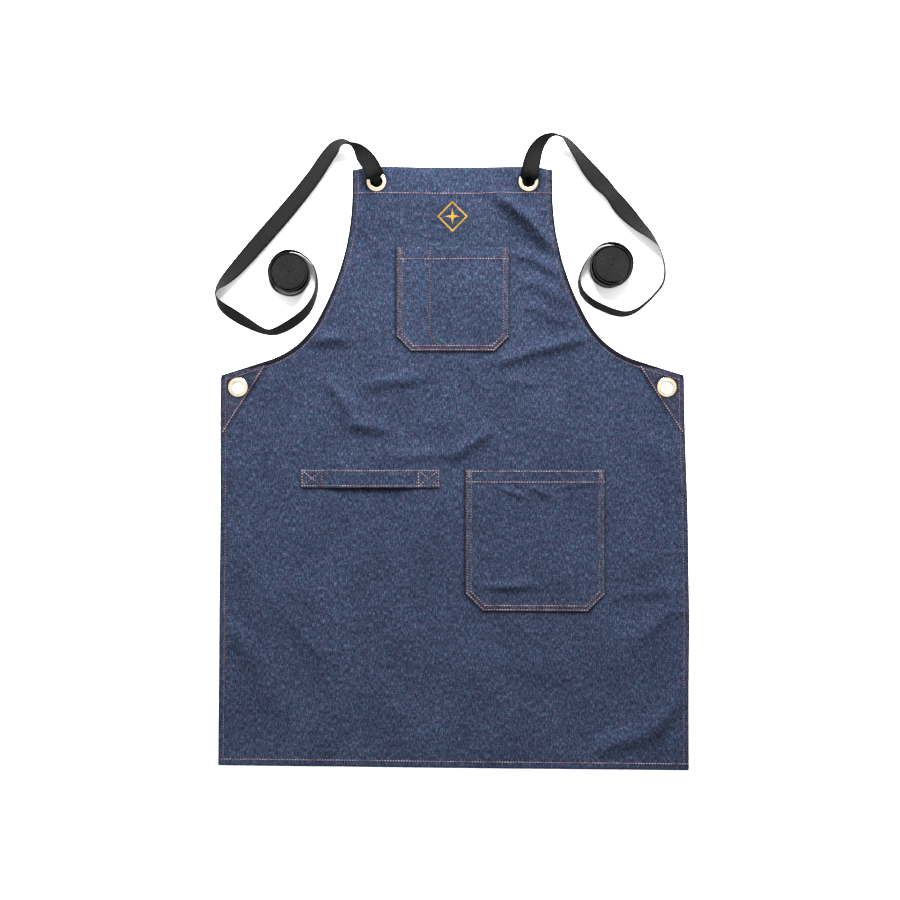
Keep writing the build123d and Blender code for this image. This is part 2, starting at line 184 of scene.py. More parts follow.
def piece(name, points, faces, flat, material, sharp):
    """A mesh object from points and faces. flat gives each point its place on the cloth, for the UV map."""
    mesh = bpy.data.meshes.new(name)
    mesh.from_pydata([tuple(point) for point in points], [], faces)
    layer = mesh.uv_layers.new(name="cloth")
    for loop in mesh.loops:
        layer.data[loop.index].uv = flat[loop.vertex_index]
    shell = bmesh.new()
    shell.from_mesh(mesh)
    bmesh.ops.recalc_face_normals(shell, faces=shell.faces)
    shell.to_mesh(mesh)
    shell.free()
    mesh.polygons.foreach_set("use_smooth", [True] * len(mesh.polygons))
    mesh.set_sharp_from_angle(angle=radians(sharp))
    thing = add_object(name, mesh)
    mesh.materials.append(material)
    return thing


# %% [markdown]
# ## Finishes: a small vocabulary for shader trees
# A shader tree is a list of nodes and wires. The helper below adds a node, sets its plain values and
# wires its inputs in one line, so that each finish reads like a recipe.

# %% Shader helpers
def new_finish(name, roughness, sheen=0.0, gloss=0.5):
    material = bpy.data.materials.new(name)
    material.use_nodes = True
    shader = material.node_tree.nodes["Principled BSDF"]
    shader.inputs["Roughness"].default_value = roughness
    shader.inputs["Specular IOR Level"].default_value = gloss
    shader.inputs["Sheen Weight"].default_value = sheen
    shader.inputs["Sheen Roughness"].default_value = 0.5
    return material, shader


def add_node(material, kind, settings=None, **inputs):
    """Adds one node. An underscore in an input's name is a space, i0 is the first input, and sockets are wired."""
    node = material.node_tree.nodes.new(kind)
    for key, value in (settings or {}).items():
        setattr(node, key, value)
    for key, value in inputs.items():
        numbered = key[0] == "i" and key[1:].isdigit()
        socket = node.inputs[int(key[1:]) if numbered else key.replace("_", " ")]
        if isinstance(value, bpy.types.NodeSocket):
            material.node_tree.links.new(value, socket)
        else:
            socket.default_value = value
    return node


def wire(material, output, socket):
    material.node_tree.links.new(output, socket)


def maths(material, operation, *values):
    inputs = {f"i{index}": value for index, value in enumerate(values)}
    return add_node(material, "ShaderNodeMath", {"operation": operation}, **inputs).outputs[0]


def speckles(material, place, scale, detail, **more):
    """Smooth noise from 0 to 1."""
    return add_node(material, "ShaderNodeTexNoise", Vector=place, Scale=scale, Detail=detail, **more).outputs["Fac"]


def bands(material, direction, place, scale, distortion, **more):
    """Soft stripes from 0 to 1."""
    return add_node(material, "ShaderNodeTexWave", {"wave_type": "BANDS", "bands_direction": direction},
                    Vector=place, Scale=scale, Distortion=distortion, **more).outputs["Fac"]


def emboss(material, shader, height, strength, distance):
    bump = add_node(material, "ShaderNodeBump", Strength=strength, Distance=distance, Height=height)
    wire(material, bump.outputs["Normal"], shader.inputs["Normal"])


def ramp(material, factor, stops):
    """A colour ramp with (position, colour) stops."""
    node = add_node(material, "ShaderNodeValToRGB", Fac=factor)
    elements = node.color_ramp.elements
    while len(elements) < len(stops):
        elements.new(0.5)
    for element, (position, colour) in zip(elements, stops):
        element.position = position
        element.color = (*colour, 1)
    return node.outputs["Color"]


def mix(material, factor, first, second, blend="MIX"):
    node = add_node(material, "ShaderNodeMix", {"data_type": "RGBA", "blend_type": blend})
    for value, socket in ((factor, node.inputs[0]), (first, node.inputs[6]), (second, node.inputs[7])):
        if isinstance(value, bpy.types.NodeSocket):
            wire(material, value, socket)
        else:
            socket.default_value = value
    return node.outputs[2]


# %% [markdown]
# ## Denim
# Denim is a twill: blue warp threads pass over pale weft threads in diagonal steps about a millimetre
# apart. The yarns are uneven, so the cloth is flecked with short pale and dark streaks along the warp,
# and washing leaves soft clouds. The pattern reads the flat cloth's own UV map, in metres, so it bends
# with every wrinkle. Bump gives the twill ribs their depth.

# %% Denim
def make_denim(name, dark, middle_tone, light):
    material, shader = new_finish(name, 0.9, 0.02, 0.08)
    shader.inputs["Sheen Tint"].default_value = (0.55, 0.65, 0.9, 1)
    cloth_place = add_node(material, "ShaderNodeUVMap", {"uv_map": "cloth"}).outputs["UV"]
    twill = bands(material, "DIAGONAL", cloth_place, 430.0, 2.0, Detail=2.0, Detail_Scale=1.5)
    warp_place = add_node(material, "ShaderNodeMapping", Vector=cloth_place, Scale=(620.0, 170.0, 1.0)).outputs[0]
    warp = speckles(material, warp_place, 1.0, 3.0, Roughness=0.65)
    weft_place = add_node(material, "ShaderNodeMapping", Vector=cloth_place, Scale=(260.0, 560.0, 1.0)).outputs[0]
    weft = speckles(material, weft_place, 1.0, 3.0, Roughness=0.7)
    yarn = maths(material, "MULTIPLY_ADD", warp, 0.62, 0.0)
    yarn = maths(material, "MULTIPLY_ADD", weft, 0.38, yarn)
    yarn = maths(material, "MULTIPLY_ADD", twill, 0.10, yarn)
    colour = ramp(material, yarn, [(0.40, dark), (0.56, middle_tone), (0.72, light)])
    for scale, detail, roughness, low, high in (
            (16.0, 4.0, 0.55, (0.3, (0.80, 0.80, 0.83)), (0.7, (1.20, 1.20, 1.17))),  # clouds
            (120.0, 3.0, 0.7, (0.36, (0.70, 0.71, 0.76)), (0.64, (1.34, 1.32, 1.26))),  # slubs
            (75.0, 3.0, 0.6, (0.35, (0.88, 1.04, 1.02)), (0.65, (1.13, 0.96, 1.01)))):  # hues
        unevenness = speckles(material, cloth_place, scale, detail, Roughness=roughness)
        colour = mix(material, 1.0, colour, ramp(material, unevenness, [low, high]), "MULTIPLY")
    # A per-point colour attribute multiplies the colour: painted shade from the cloth sheets, and paler wear between
    # the pockets' rows.
    wear_and_painted_shade = add_node(material, "ShaderNodeAttribute",
                         {"attribute_type": "GEOMETRY", "attribute_name": "wear_and_painted_shade"})
    colour = mix(material, 1.0, colour, wear_and_painted_shade.outputs["Color"], "MULTIPLY")
    wire(material, colour, shader.inputs["Base Color"])
    emboss(material, shader, maths(material, "MULTIPLY_ADD", yarn, 1.2, twill), 0.55, 0.00035)
    return material


denim = make_denim("indigo_denim", (0.0019, 0.0030, 0.0077), (0.0075, 0.0112, 0.0238), (0.034, 0.0465, 0.079))
dark_denim = make_denim("dark_denim", (0.0022, 0.0026, 0.0060), (0.0084, 0.0096, 0.0192), (0.036, 0.040, 0.065))

# %% [markdown]
# ## Thread, tape, webbing and brass
# Thread is twisted, so its bump runs round it in fine slanted bands. The tape and the webbing are woven
# with cross ribs, which the webbing's UV map carries along its length. Brass is a metal with fine scratches
# and a slightly uneven polish.

# %% Other finishes
def make_thread(name, dark, light, pitch):
    material, shader = new_finish(name, 0.7, 0.03, 0.12)
    place = add_node(material, "ShaderNodeTexCoord").outputs["Object"]
    twist = bands(material, "DIAGONAL", place, 0.44 / pitch, 1.0)
    wear = speckles(material, place, 90.0, 3.0)
    wire(material, ramp(material, wear, [(0.35, dark), (0.65, light)]), shader.inputs["Base Color"])
    emboss(material, shader, twist, 0.6, 0.0001)
    return material


def make_webbing(name, dark, light, edge_tone=0.45):
    material, shader = new_finish(name, 0.9, 0.01, 0.04)
    place = add_node(material, "ShaderNodeUVMap", {"uv_map": "cloth"}).outputs["UV"]
    ribs = bands(material, "Y", place, 175.0, 0.6, Detail=1.0)
    strands = bands(material, "X", place, 260.0, 0.4, Detail=1.0)
    lint = speckles(material, place, 420.0, 4.0, Roughness=0.7)
    weave = maths(material, "MULTIPLY", ribs, strands)
    tone = maths(material, "MULTIPLY_ADD", weave, 0.35, lint)
    # The faces are multiplied by an edge tone towards the ribbon's edges: darker below 1, lighter above 1.
    across = add_node(material, "ShaderNodeSeparateXYZ", Vector=place).outputs["X"]
    to_edge = maths(material, "MULTIPLY", maths(material, "ABSOLUTE", across), 80.0)
    shade = ramp(material, to_edge, [(0.62, (1, 1, 1)), (0.92, (edge_tone, edge_tone, edge_tone))])
    colour = mix(material, 1.0, ramp(material, tone, [(0.4, dark), (0.85, light)]), shade, "MULTIPLY")
    wire(material, colour, shader.inputs["Base Color"])
    emboss(material, shader, maths(material, "MULTIPLY_ADD", weave, 1.5, lint), 0.7, 0.0004)
    return material


def make_brass(name):
    material, shader = new_finish(name, 0.25)
    shader.inputs["Metallic"].default_value = 1.0
    place = add_node(material, "ShaderNodeTexCoord").outputs["Object"]
    tarnish = speckles(material, place, 140.0, 4.0)
    cream = ramp(material, tarnish, [(0.3, (0.46, 0.38, 0.25)), (0.7, (0.60, 0.55, 0.42))])
    # Painted shade: faces that turn away from straight up, the flange's rounded rim and the bore's wall, are darkened
    # in the colour.
    facing = add_node(material, "ShaderNodeNewGeometry").outputs["Normal"]
    upward = add_node(material, "ShaderNodeSeparateXYZ", Vector=facing).outputs["Z"]
    painted_side_shade = ramp(material, upward, [(0.35, (0.16, 0.12, 0.07)), (0.8, (1, 1, 1))])
    wire(material, mix(material, 1.0, cream, painted_side_shade, "MULTIPLY"), shader.inputs["Base Color"])
    polish = ramp(material, tarnish, [(0.3, (0.32, 0.32, 0.32)), (0.7, (0.16, 0.16, 0.16))])
    wire(material, polish, shader.inputs["Roughness"])
    emboss(material, shader, speckles(material, place, 1500.0, 2.0), 0.15, 0.0001)
    return material


topstitch_thread = make_thread("topstitch_thread", (0.050, 0.024, 0.030), (0.155, 0.114, 0.128), 0.0006)
# Painted shade: a darker copy of the topstitch thread, sewn on the side, armhole and pen rows and the pockets' upright
# rows, which catch less of the light from the top.
shaded_topstitch_thread = make_thread("shaded_topstitch_thread", (0.024, 0.013, 0.018), (0.074, 0.049, 0.058), 0.0006)
gold_thread = make_thread("gold_thread", (0.11, 0.058, 0.004), (0.20, 0.120, 0.012), 0.0005)
webbing = make_webbing("black_webbing", (0.0014, 0.0014, 0.0014), (0.0094, 0.0094, 0.0094))
# Painted light: a lighter copy of the webbing for the rolls, whose tops show the webbing's edges lit from above; an
# edge tone of 1.25 lightens those edges further.
wound_webbing = make_webbing("wound_webbing", (0.0022, 0.0022, 0.0022), (0.0150, 0.0150, 0.0150),
                             edge_tone=1.25)
binding_tape = make_webbing("binding_tape", (0.0012, 0.0010, 0.0016), (0.0062, 0.0052, 0.0082))
brass = make_brass("polished_brass")

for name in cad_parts:
    if name.endswith(("_eyelet", "_washer")):
        eyelet_object = bpy.data.objects[name]
        eyelet_object.data.materials.clear()
        eyelet_object.data.materials.append(brass)

# %% [markdown]
# ## The webbing of each strap
# The webbing is a flat ribbon that follows the spline. At each station we need the way forward and the
# way across. The lean turns the way across from upright to flat. Inside the eyelet the ribbon is curled
# into a C to pass the hole, and it opens out to its full width in the first few centimetres.

# %% Ribbon
webbing_width = 25 * mm
webbing_thickness = 1.5 * mm
across_steps = [-1, -0.97, -0.86, -0.68, -0.46, -0.23, 0, 0.23, 0.46, 0.68, 0.86, 0.97, 1]


def ribbon(name, stations, material):
    """A closed ribbon through stations of (place, way across, way out, curl), curl in turns per metre."""
    points, flat = [], []
    travelled = 0.0
    for index, (place, across, out, curl) in enumerate(stations):
        if index:
            travelled += (place - stations[index - 1][0]).length
        ring = []
        for face in (1, -1):
            for step in across_steps[::face]:
                reach = step * webbing_width / 2
                thin = 0.45 if abs(step) == 1 else (0.85 if abs(step) > 0.95 else 1)
                if curl > 0.5:
                    bend = 2 * pi * curl
                    turn = bend * reach
                    lift = (1 - cos(turn)) / bend - 0.5 * (1 - cos(bend * webbing_width / 2)) / bend
                    centre = place + across * (sin(turn) / bend) + out * lift
                    normal = out * cos(turn) - across * sin(turn)
                else:
                    centre = place + across * reach
                    normal = out
                ring.append(centre + normal * (face * thin * webbing_thickness / 2))
                flat.append((reach, travelled))
        for point in ring:
            point.z = max(point.z, 0.1 * mm)
        points += ring
    size = 2 * len(across_steps)
    faces = tube_faces(len(stations), size)
    last = (len(stations) - 1) * size
    half = len(across_steps)
    for base in (0, last):
        for corner in range(half - 1):
            faces.append((base + corner, base + corner + 1, base + size - 2 - corner, base + size - 1 - corner))
    return piece(name, points, faces, flat, material, sharp=50)


def strap_stations(line, leans, side):
    """The ways forward, across and out at each point of a strap's line."""
    first = Vector((outwards[side] * 0.25, 1, 0)).normalized()
    stations = []
    travelled = 0.0
    for index, place in enumerate(line):
        forward = way_along(line, index)
        heading = Vector((forward.x, forward.y, 0)) + first * 0.02 * abs(forward.z)
        heading.normalize()
        inward = Vector((-heading.y, heading.x, 0)) * -outwards[side]
        lean = radians(leans[index])
        across = Vector((0, 0, cos(lean))) + inward * sin(lean)
        across = (across - forward * across.dot(forward)).normalized()
        out = forward.cross(across)
        travelled += (place - line[max(index - 1, 0)]).length
        curl = 34 * (1 - ease(travelled, 6 * mm, 21 * mm))
        stations.append((place, across, out, curl))
    return stations


strap_runs = {}
for side in routes:
    stations = strap_stations(strap_lines[side], strap_leans[side], side)
    strap_runs[side] = ribbon(f"{side}_strap_webbing", stations, webbing)
    print(side, "webbing", len(strap_runs[side].data.polygons), "faces")

# %% [markdown]
# ## The rolls
# What is left of each strap is wound up and stands on its edge. A hand-wound roll is tight in the
# middle and loose outside, so its line is a spiral with a steady pitch in the core and two outer turns that
# stray from it. We walk along the spiral in short steps and send the same ribbon through the points.

# %% Rolls
wound_pitch = 1.72 * mm
core_radius = 23.6 * mm
eye_radius = 1.1 * mm
loose_turns = {  # radius in millimetres at each eighth of a turn, from the run's end inwards
    "left": (31.1, 30.6, 28.8, 28.3, 31.0, 31.6, 28.6, 26.6, 25.6, 26.0, 26.6, 26.5, 25.8, 25.3, 25.2, 24.6, 23.6),
    "right": (31.6, 31.2, 30.2, 28.6, 28.4, 30.2, 30.4, 28.2, 26.2, 26.2, 26.8, 26.8, 26.3, 25.8, 25.4, 24.8, 23.6),
}


def winding(side):
    """The line of a roll, from the end of its strap's run to its eye."""
    roll, *_ = middle(f"{side}_strap_roll")
    centre = Vector((roll.x, roll.y, 0))
    spoke = strap_lines[side][-1] - centre
    start = atan2(spoke.y, spoke.x)
    way = -outwards[side]
    radii = loose_turns[side]
    outer = (len(radii) - 1) / 8
    points = []
    turned = 0.0
    while True:
        if turned < outer:
            step = int(turned * 8)
            share = turned * 8 - step
            share = share * share * (3 - 2 * share) * 0.5 + share * 0.5
            radius = (radii[step] + (radii[step + 1] - radii[step]) * share) * mm
        else:
            radius = core_radius - (turned - outer) * wound_pitch
        if radius < eye_radius:
            return points
        angle = start + way * 2 * pi * turned
        sway = 0.35 * mm * noise.noise(Vector((cos(angle) * 2, sin(angle) * 2, turned)))
        height = 13.0 * mm + 0.7 * mm * noise.noise(Vector((turned * 1.7, 3.1, way)))
        if turned < outer:
            height -= 2.2 * mm * ease(turned, 0.2, 0.6) * (1 - ease(turned, outer - 0.3, outer))
        spot = centre + Vector((cos(angle), sin(angle), 0)) * (radius + sway * ease(turned, 0, 0.2))
        height += (strap_lines[side][-1].z - height) * (1 - ease(turned, 0, 0.3))
        points.append(Vector((spot.x, spot.y, height)))
        turned += 2.4 * mm / (2 * pi * max(radius, 6 * mm))


strap_rolls, roll_lengths = {}, {}
for side in routes:
    line = winding(side)
    roll, *_ = middle(f"{side}_strap_roll")
    stations = []
    for index, place in enumerate(line):
        forward = way_along(line, index)
        spoke = Vector((place.x - roll.x, place.y - roll.y, 0)).normalized()
        slack = radians(3) * ease(index, 8, 30) * (1 - ease(index, 112, 128))
        across = Vector((0, 0, cos(slack))) + spoke * sin(slack)
        stations.append((place, across, forward.cross(across), 0))
    strap_rolls[side] = ribbon(f"{side}_wound_webbing", stations, wound_webbing)
    roll_lengths[side] = sum((b - a).length for a, b in zip(line, line[1:]))
    print(side, "roll", round(roll_lengths[side], 2), "m wound,", len(stations), "stations")

# %% [markdown]
# ## The knots behind the bib
# An overhand knot holds each strap behind its eyelet. It is hidden from above, but it shows in the gap under
# the lifted bib. Its line is a flattened trefoil, and the webbing is gathered to a narrow oval there.

# %% Knots
knot_steps, knot_spokes = 96, 12
gathered_reach, gathered_rise = 4.2 * mm, 1.9 * mm
strap_knots = {}
for side in routes:
    low, high = (Vector(corner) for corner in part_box(f"{side}_strap_knot"))
    centre, reach = (low + high) / 2, (high - low) / 2
    line = []
    for step in range(knot_steps):
        t = 2 * pi * step / knot_steps
        x = (sin(t) + 2 * sin(2 * t)) / 3 * (reach.x - gathered_reach)
        y = (cos(t) - 2 * cos(2 * t)) / 3 * (reach.y - gathered_reach)
        line.append(centre + Vector((x, y, -sin(3 * t) * (reach.z - 2.2 * mm))))
    points, flat = [], []
    for step, place in enumerate(line):
        forward = (line[(step + 1) % knot_steps] - line[step - 1]).normalized()
        aside = Vector((-forward.y, forward.x, 0)).normalized()
        up = forward.cross(aside)
        for spoke in range(knot_spokes):
            angle = 2 * pi * spoke / knot_spokes
            points.append(place + aside * cos(angle) * gathered_reach + up * sin(angle) * gathered_rise)
            flat.append((spoke / knot_spokes * 20 * mm, step * 1.5 * mm))
    faces = tube_faces(knot_steps, knot_spokes, closed=True)
    strap_knots[side] = piece(f"{side}_webbing_knot", points, faces, flat, webbing, sharp=60)

# %% [markdown]
# ## How the cloth lies
# The apron is one sheet of denim on a floor. One function says how high its front is at any place:
# the bib is held up by the knots, the hems are thicker, and soft folds cross the cloth. The rest of the
# apron, such as pockets and stitches, asks the same function, so everything stays sewn together.

# %% The apron's cut
panel_high = Vector(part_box("body_panel")[1])
half_length = panel_high.y
half_hem = panel_high.x
half_corner = half_hem - 5.6 * mm
corner_y = -half_length + 550 * mm
half_bib = 138.6 * mm
cloth = 1.0 * mm
hem_thickness = 2.4 * mm
tape = 0.5 * mm
top_hem, bottom_hem, side_hem, armhole_margin = 37.5 * mm, 10 * mm, 8 * mm, 11 * mm
lifted = 10.5 * mm  # how high the knots hold the bib
lifted_from = 5 * mm  # an eyelet whose foot is above this is one of the bib's


def arc(start, corner, end, count=40):
    """Points of the arc that touches both legs of a corner at start and end."""
    leg_in, leg_out = corner - start, end - corner
    turn = leg_in.angle(leg_out)
    radius = leg_in.length / tan(turn / 2)
    side = 1 if leg_in.cross(leg_out) > 0 else -1
    normal = Vector((-leg_in.y, leg_in.x)).normalized() * side
    centre = start + normal * radius
    spoke = start - centre
    points = []
    for step in range(count + 1):
        angle = side * turn * step / count
        points.append(centre + Vector((spoke.x * cos(angle) - spoke.y * sin(angle),
                                       spoke.x * sin(angle) + spoke.y * cos(angle))))
    return points


rise, depth = half_length - corner_y, half_corner - half_bib
bib_corner = Vector((half_bib, half_length))
upper_bend = Vector((half_bib, corner_y + 0.5676 * rise))
lower_bend = Vector((half_bib + 0.398 * depth, corner_y + 0.1207 * rise))
side_corner = Vector((half_corner, corner_y))
leg = (lower_bend - upper_bend).length
upper_reach, lower_reach = 0.67 * leg, 0.32 * leg
armhole_line = [bib_corner]
armhole_line += arc(upper_bend + Vector((0, upper_reach)), upper_bend,
                    upper_bend + (lower_bend - upper_bend).normalized() * upper_reach)
armhole_line += arc(lower_bend - (lower_bend - upper_bend).normalized() * lower_reach, lower_bend,
                    lower_bend + (side_corner - lower_bend).normalized() * lower_reach)
armhole_line += [side_corner]


def evenly(points, pitch):
    """Points a steady distance apart along a flat line."""
    lengths = [0.0]
    for a, b in zip(points, points[1:]):
        lengths.append(lengths[-1] + (b - a).length)
    count = max(2, round(lengths[-1] / pitch))
    spread, index = [], 0
    for step in range(count + 1):
        goal = lengths[-1] * step / count
        while index < len(points) - 2 and lengths[index + 1] < goal:
            index += 1
        span = max(lengths[index + 1] - lengths[index], 1e-9)
        spread.append(points[index].lerp(points[index + 1], min((goal - lengths[index]) / span, 1)))
    return spread


armhole_even = evenly(armhole_line, 1 * mm)
# the pieces sewn on, in millimetres
chest = {"left": -78, "right": 79, "bottom": 164, "top": 309, "chamfer": 20, "hem": 16}
hand = {"left": 19, "right": 213.6, "bottom": -200, "top": -2, "chamfer": 24, "hem": 17}
pen_seam = -31.5
loop = {"left": -212, "right": -17, "bottom": -26.6, "top": -1, "foot": 30}
armhole_tree = kdtree.KDTree(len(armhole_even))
for index, point in enumerate(armhole_even):
    armhole_tree.insert((point.x, point.y, 0), index)
armhole_tree.balance()


def half_width(y):
    """Half the width of the apron at a height."""
    if y <= corner_y:
        return half_hem + (half_corner - half_hem) * (y + half_length) / (corner_y + half_length)
    for upper, lower in zip(armhole_line, armhole_line[1:]):
        if lower.y <= y <= upper.y:
            share = (upper.y - y) / max(upper.y - lower.y, 1e-9)
            return upper.x + (lower.x - upper.x) * share
    return half_bib


def armhole_gap(x, y):
    return armhole_tree.find((abs(x), y, 0))[2]


print("armhole", round(len(armhole_even)), "mm long, half width at the waist", round(half_width(0) * 1000), "mm")

# %% [markdown]
# A fold in lying cloth is a long low ridge. Each is a stroke with a start, an end, a width and a height,
# all in millimetres, and broad noise fills in the rest, as cloth is never quite flat.

# %% Folds and height
folds = [
    # x, y, to x, to y, half width, height
    (52, 394, 158, 296, 9.5, 13.5), (86, 302, 156, 272, 8, 6.5), (96, 264, 160, 236, 9, 6),
    (106, 228, 164, 204, 9, 4),
    (50, 146, 200, 187, 9, 8), (78, 123, 118, 118, 7, 3.2), (-204, 185, -146, 181, 9, 8),
    (-180, 128, -130, 64, 9, 6), (-144, 62, -90, 54, 9, 7.5), (-128, 116, -34, 131, 9, 6.5),
    (22, 149, 38, 112, 7, 2.8), (-98, 17, 14, 20, 9, 4.2), (2, 18, 52, 54, 9, 7.5), (-60, 62, 10, 66, 12, 2.2),
    (200, -392, 286, -364, 13, 9), (280, -366, 314, -318, 12, 8), (254, -242, 308, -190, 13, 4.5),
    (222, -178, 316, -168, 9, 3.2), (-312, -222, -264, -288, 13, 4.5), (-262, -288, -236, -352, 12, 3.2),
    (-224, -210, -180, -272, 10, 3.8), (236, 76, 300, 8, 13, 2.6), (-262, 92, -240, -30, 14, 2.2),
    (-120, -92, -150, -182, 16, 2.0), (40, -262, 150, -292, 16, 2.2), (-100, -300, -72, -352, 12, 2.2),
    (-130, 345, -98, 300, 10, 2.4), (228, -60, 262, -150, 12, 2.2),
]
eyelet_spots = []
for side in routes:
    for place in ("bib", "side"):
        spot, base, top = middle(f"{side}_{place}_eyelet")
        eyelet_spots.append((spot.x, spot.y, base, top))


def bib_lift(x, y):
    """How far the knots hold the cloth up."""
    held = 0.0
    for spot_x, spot_y, base, _ in eyelet_spots:
        if base > lifted_from:
            away = hypot((x - spot_x) * 1.05, (y - spot_y) * (0.95 if y < spot_y else 1.2))
            held = max(held, 1 - ease(away, 17 * mm, 92 * mm))
    general = ease(y, half_length - 110 * mm, half_length - 45 * mm)
    return lifted * (0.62 * held + 0.38 * general * (1 - 0.25 * ease(abs(x), 118 * mm, 139 * mm)))


def fold_height(x, y, strokes, past, sway, waves, full_from, full_to):
    """The height of the strokes. Each runs past its ends, sways sideways, and is full between two shares of it."""
    total = 0.0
    for x0, y0, x1, y1, wide, high in strokes:
        dx, dy = (x1 - x0) * mm, (y1 - y0) * mm
        span = hypot(dx, dy)
        along = ((x - x0 * mm) * dx + (y - y0 * mm) * dy) / span
        if not -past < along < span + past:
            continue
        aside = ((x - x0 * mm) * dy - (y - y0 * mm) * dx) / span
        aside += sway * noise.noise(Vector((along * waves, x0, y0)))
        if abs(aside) > 3 * wide * mm:
            continue
        fade = ease(along, -past, span * full_from) * (1 - ease(along, span * full_to, span + past))
        total += high * mm * fade * exp(-((aside / (wide * mm)) ** 2))
    return total


def folded(x, y):
    """Height of the folds and of the general unevenness."""
    total = fold_height(x, y, folds, 14 * mm, 5 * mm, 22, 0.25, 0.72)
    broad = noise.noise(Vector((x * 7, y * 7, 1.7))) + 0.55 * noise.noise(Vector((x * 17, y * 15, 5.2)))
    fine = noise.noise(Vector((x * 45, y * 38, 9.4)))
    total += 2.6 * mm * max(broad + 0.30, 0) + 0.5 * mm * (fine + 0.6)
    return max(total, 0) * (1 - 0.4 * ease(hem_depth(x, y), -14 * mm, 2 * mm))


def hem_depth(x, y):
    """How far inside the nearest hem's fold a place is: positive in a hem, negative in the field."""
    inside = [
        top_hem - (half_length - y),
        bottom_hem - (y + half_length),
        side_hem - (half_width(y) - abs(x)) if y < corner_y else -1,
        armhole_margin - armhole_gap(x, y),
    ]
    return max(inside)


def calm(x, y):
    """0 under an eyelet, where the metal clamps the cloth flat, and 1 away from it."""
    return min(ease(hypot(x - ex, y - ey), 15.5 * mm, 34 * mm) for ex, ey, *_ in eyelet_spots)


def panel_back(x, y):
    thick = hem_depth(x, y)
    edge = armhole_gap(x, y) if y > corner_y - 20 * mm else 1
    raised = (hem_thickness - cloth) * exp(thick / (16 * mm)) if thick < 0 else 0.0
    slack = 1 - 0.28 * ease(-thick, 2 * mm, 14 * mm)
    over_tape = (tape if edge < 10.2 * mm else 0) * calm(x, y)
    return bib_lift(x, y) + folded(x, y) * slack * calm(x, y) + raised + over_tape


def panel_front(x, y):
    thick = hem_depth(x, y)
    edge = armhole_gap(x, y) if y > corner_y - 20 * mm else 1
    rise_at_hem = (hem_thickness - cloth) * (exp(thick / (16 * mm)) if thick < 0 else 1)
    under_tape = tape * (1 - ease(edge, 5 * mm, 6.6 * mm)) * calm(x, y)
    return bib_lift(x, y) + folded(x, y) * calm(x, y) + cloth + rise_at_hem - under_tape


def laid(x, y):
    """Where a place on the flat cloth lies: the skirt hangs a little to one side, and corners droop."""
    skirt = ease(-y, 0, half_length)
    shift_y = (1.9 - 3.5 * x / half_hem) * mm * skirt
    shift_y -= 4.0 * mm * ease(abs(x), 112 * mm, half_bib) * ease(y, half_length - 45 * mm, half_length)
    shift_x = 0.9 * mm * noise.noise(Vector((1.3, y * 9, x * 2))) * skirt
    spread = -0.6 + 2.1 * ease(abs(x), 215 * mm, 310 * mm)
    spread += 2.0 * ease(x, 215 * mm, 320 * mm) * (1 - ease(-y, 0.2, 0.33))
    shift_x += spread * mm * ease(-y, -0.1, 0.1)
    return x + shift_x, y + shift_y


# %% [markdown]
# ## A sheet of cloth
# Every sewn piece is a closed sheet: a fine front, a back, and a rounded edge between them. The grid
# follows the cut, so its edge is smooth. The large panel's back may be coarser, because it lies on the floor.

# %% Cloth sheets
def cloth_sheet(name, place, front, back, columns, rows, material, step=1, shift=(0, 0), tint=None):
    """place(u, v) gives x and y on the flat cloth, for u and v from 0 to 1."""
    points, flat, faces, tints, known = [], [], [], [], {}

    def vertex(layer, i, j):
        key = (layer, i, j)
        if key in known:
            return known[key]
        x, y = place(i / columns, j / rows)
        high, low = front(x, y), back(x, y)
        on_edge = i in (0, columns) or j in (0, rows)
        if layer == "rim":
            ix, iy = place(min(max(i, 1), columns - 1) / columns, min(max(j, 1), rows - 1) / rows)
            away = Vector((x - ix, y - iy)).normalized() * 0.3 * (high - low)
            z = (high + low) / 2
            lx, ly = laid(x + away.x, y + away.y)
        else:
            z = high if layer == "front" else low
            if on_edge:
                z += (0.22 if layer == "back" else -0.22) * (high - low)
            lx, ly = laid(x, y)
        known[key] = len(points)
        points.append((lx, ly, z))
        flat.append((x + shift[0], y + shift[1]))
        tints.append((*tint(x, y), 1.0) if tint else (1.0, 1.0, 1.0, 1.0))
        return known[key]

    for i in range(columns):
        for j in range(rows):
            faces.append([vertex("front", i + a, j + b) for a, b in ((0, 0), (1, 0), (1, 1), (0, 1))])
    for i in range(0, columns, step):
        for j in range(0, rows, step):
            ring = [(i, j + b) for b in range(step)] if i == 0 else [(i, j)]
            ring += [(i + a, j + step) for a in range(step)] if j + step == rows else [(i, j + step)]
            ring += ([(i + step, j + step - b) for b in range(step)] if i + step == columns
                     else [(i + step, j + step)])
            ring += [(i + step - a, j) for a in range(step)] if j == 0 else [(i + step, j)]
            faces.append([vertex("back", *spot) for spot in ring])
    border = [(i, 0) for i in range(columns)] + [(columns, j) for j in range(rows)]
    border += [(i, rows) for i in range(columns, 0, -1)] + [(0, j) for j in range(rows, 0, -1)]
    for here, there in zip(border, border[1:] + border[:1]):
        for upper, lower in (("front", "rim"), ("rim", "back")):
            faces.append([vertex(upper, *there), vertex(upper, *here),
                          vertex(lower, *here), vertex(lower, *there)])
    made = piece(name, points, faces, flat, material, sharp=60)
    # the per-point colour kept here holds painted shade, and wear between the pockets' rows
    layer = made.data.color_attributes.new("wear_and_painted_shade", "FLOAT_COLOR", "POINT")
    for item, value in zip(layer.data, tints):
        item.color = value
    return made


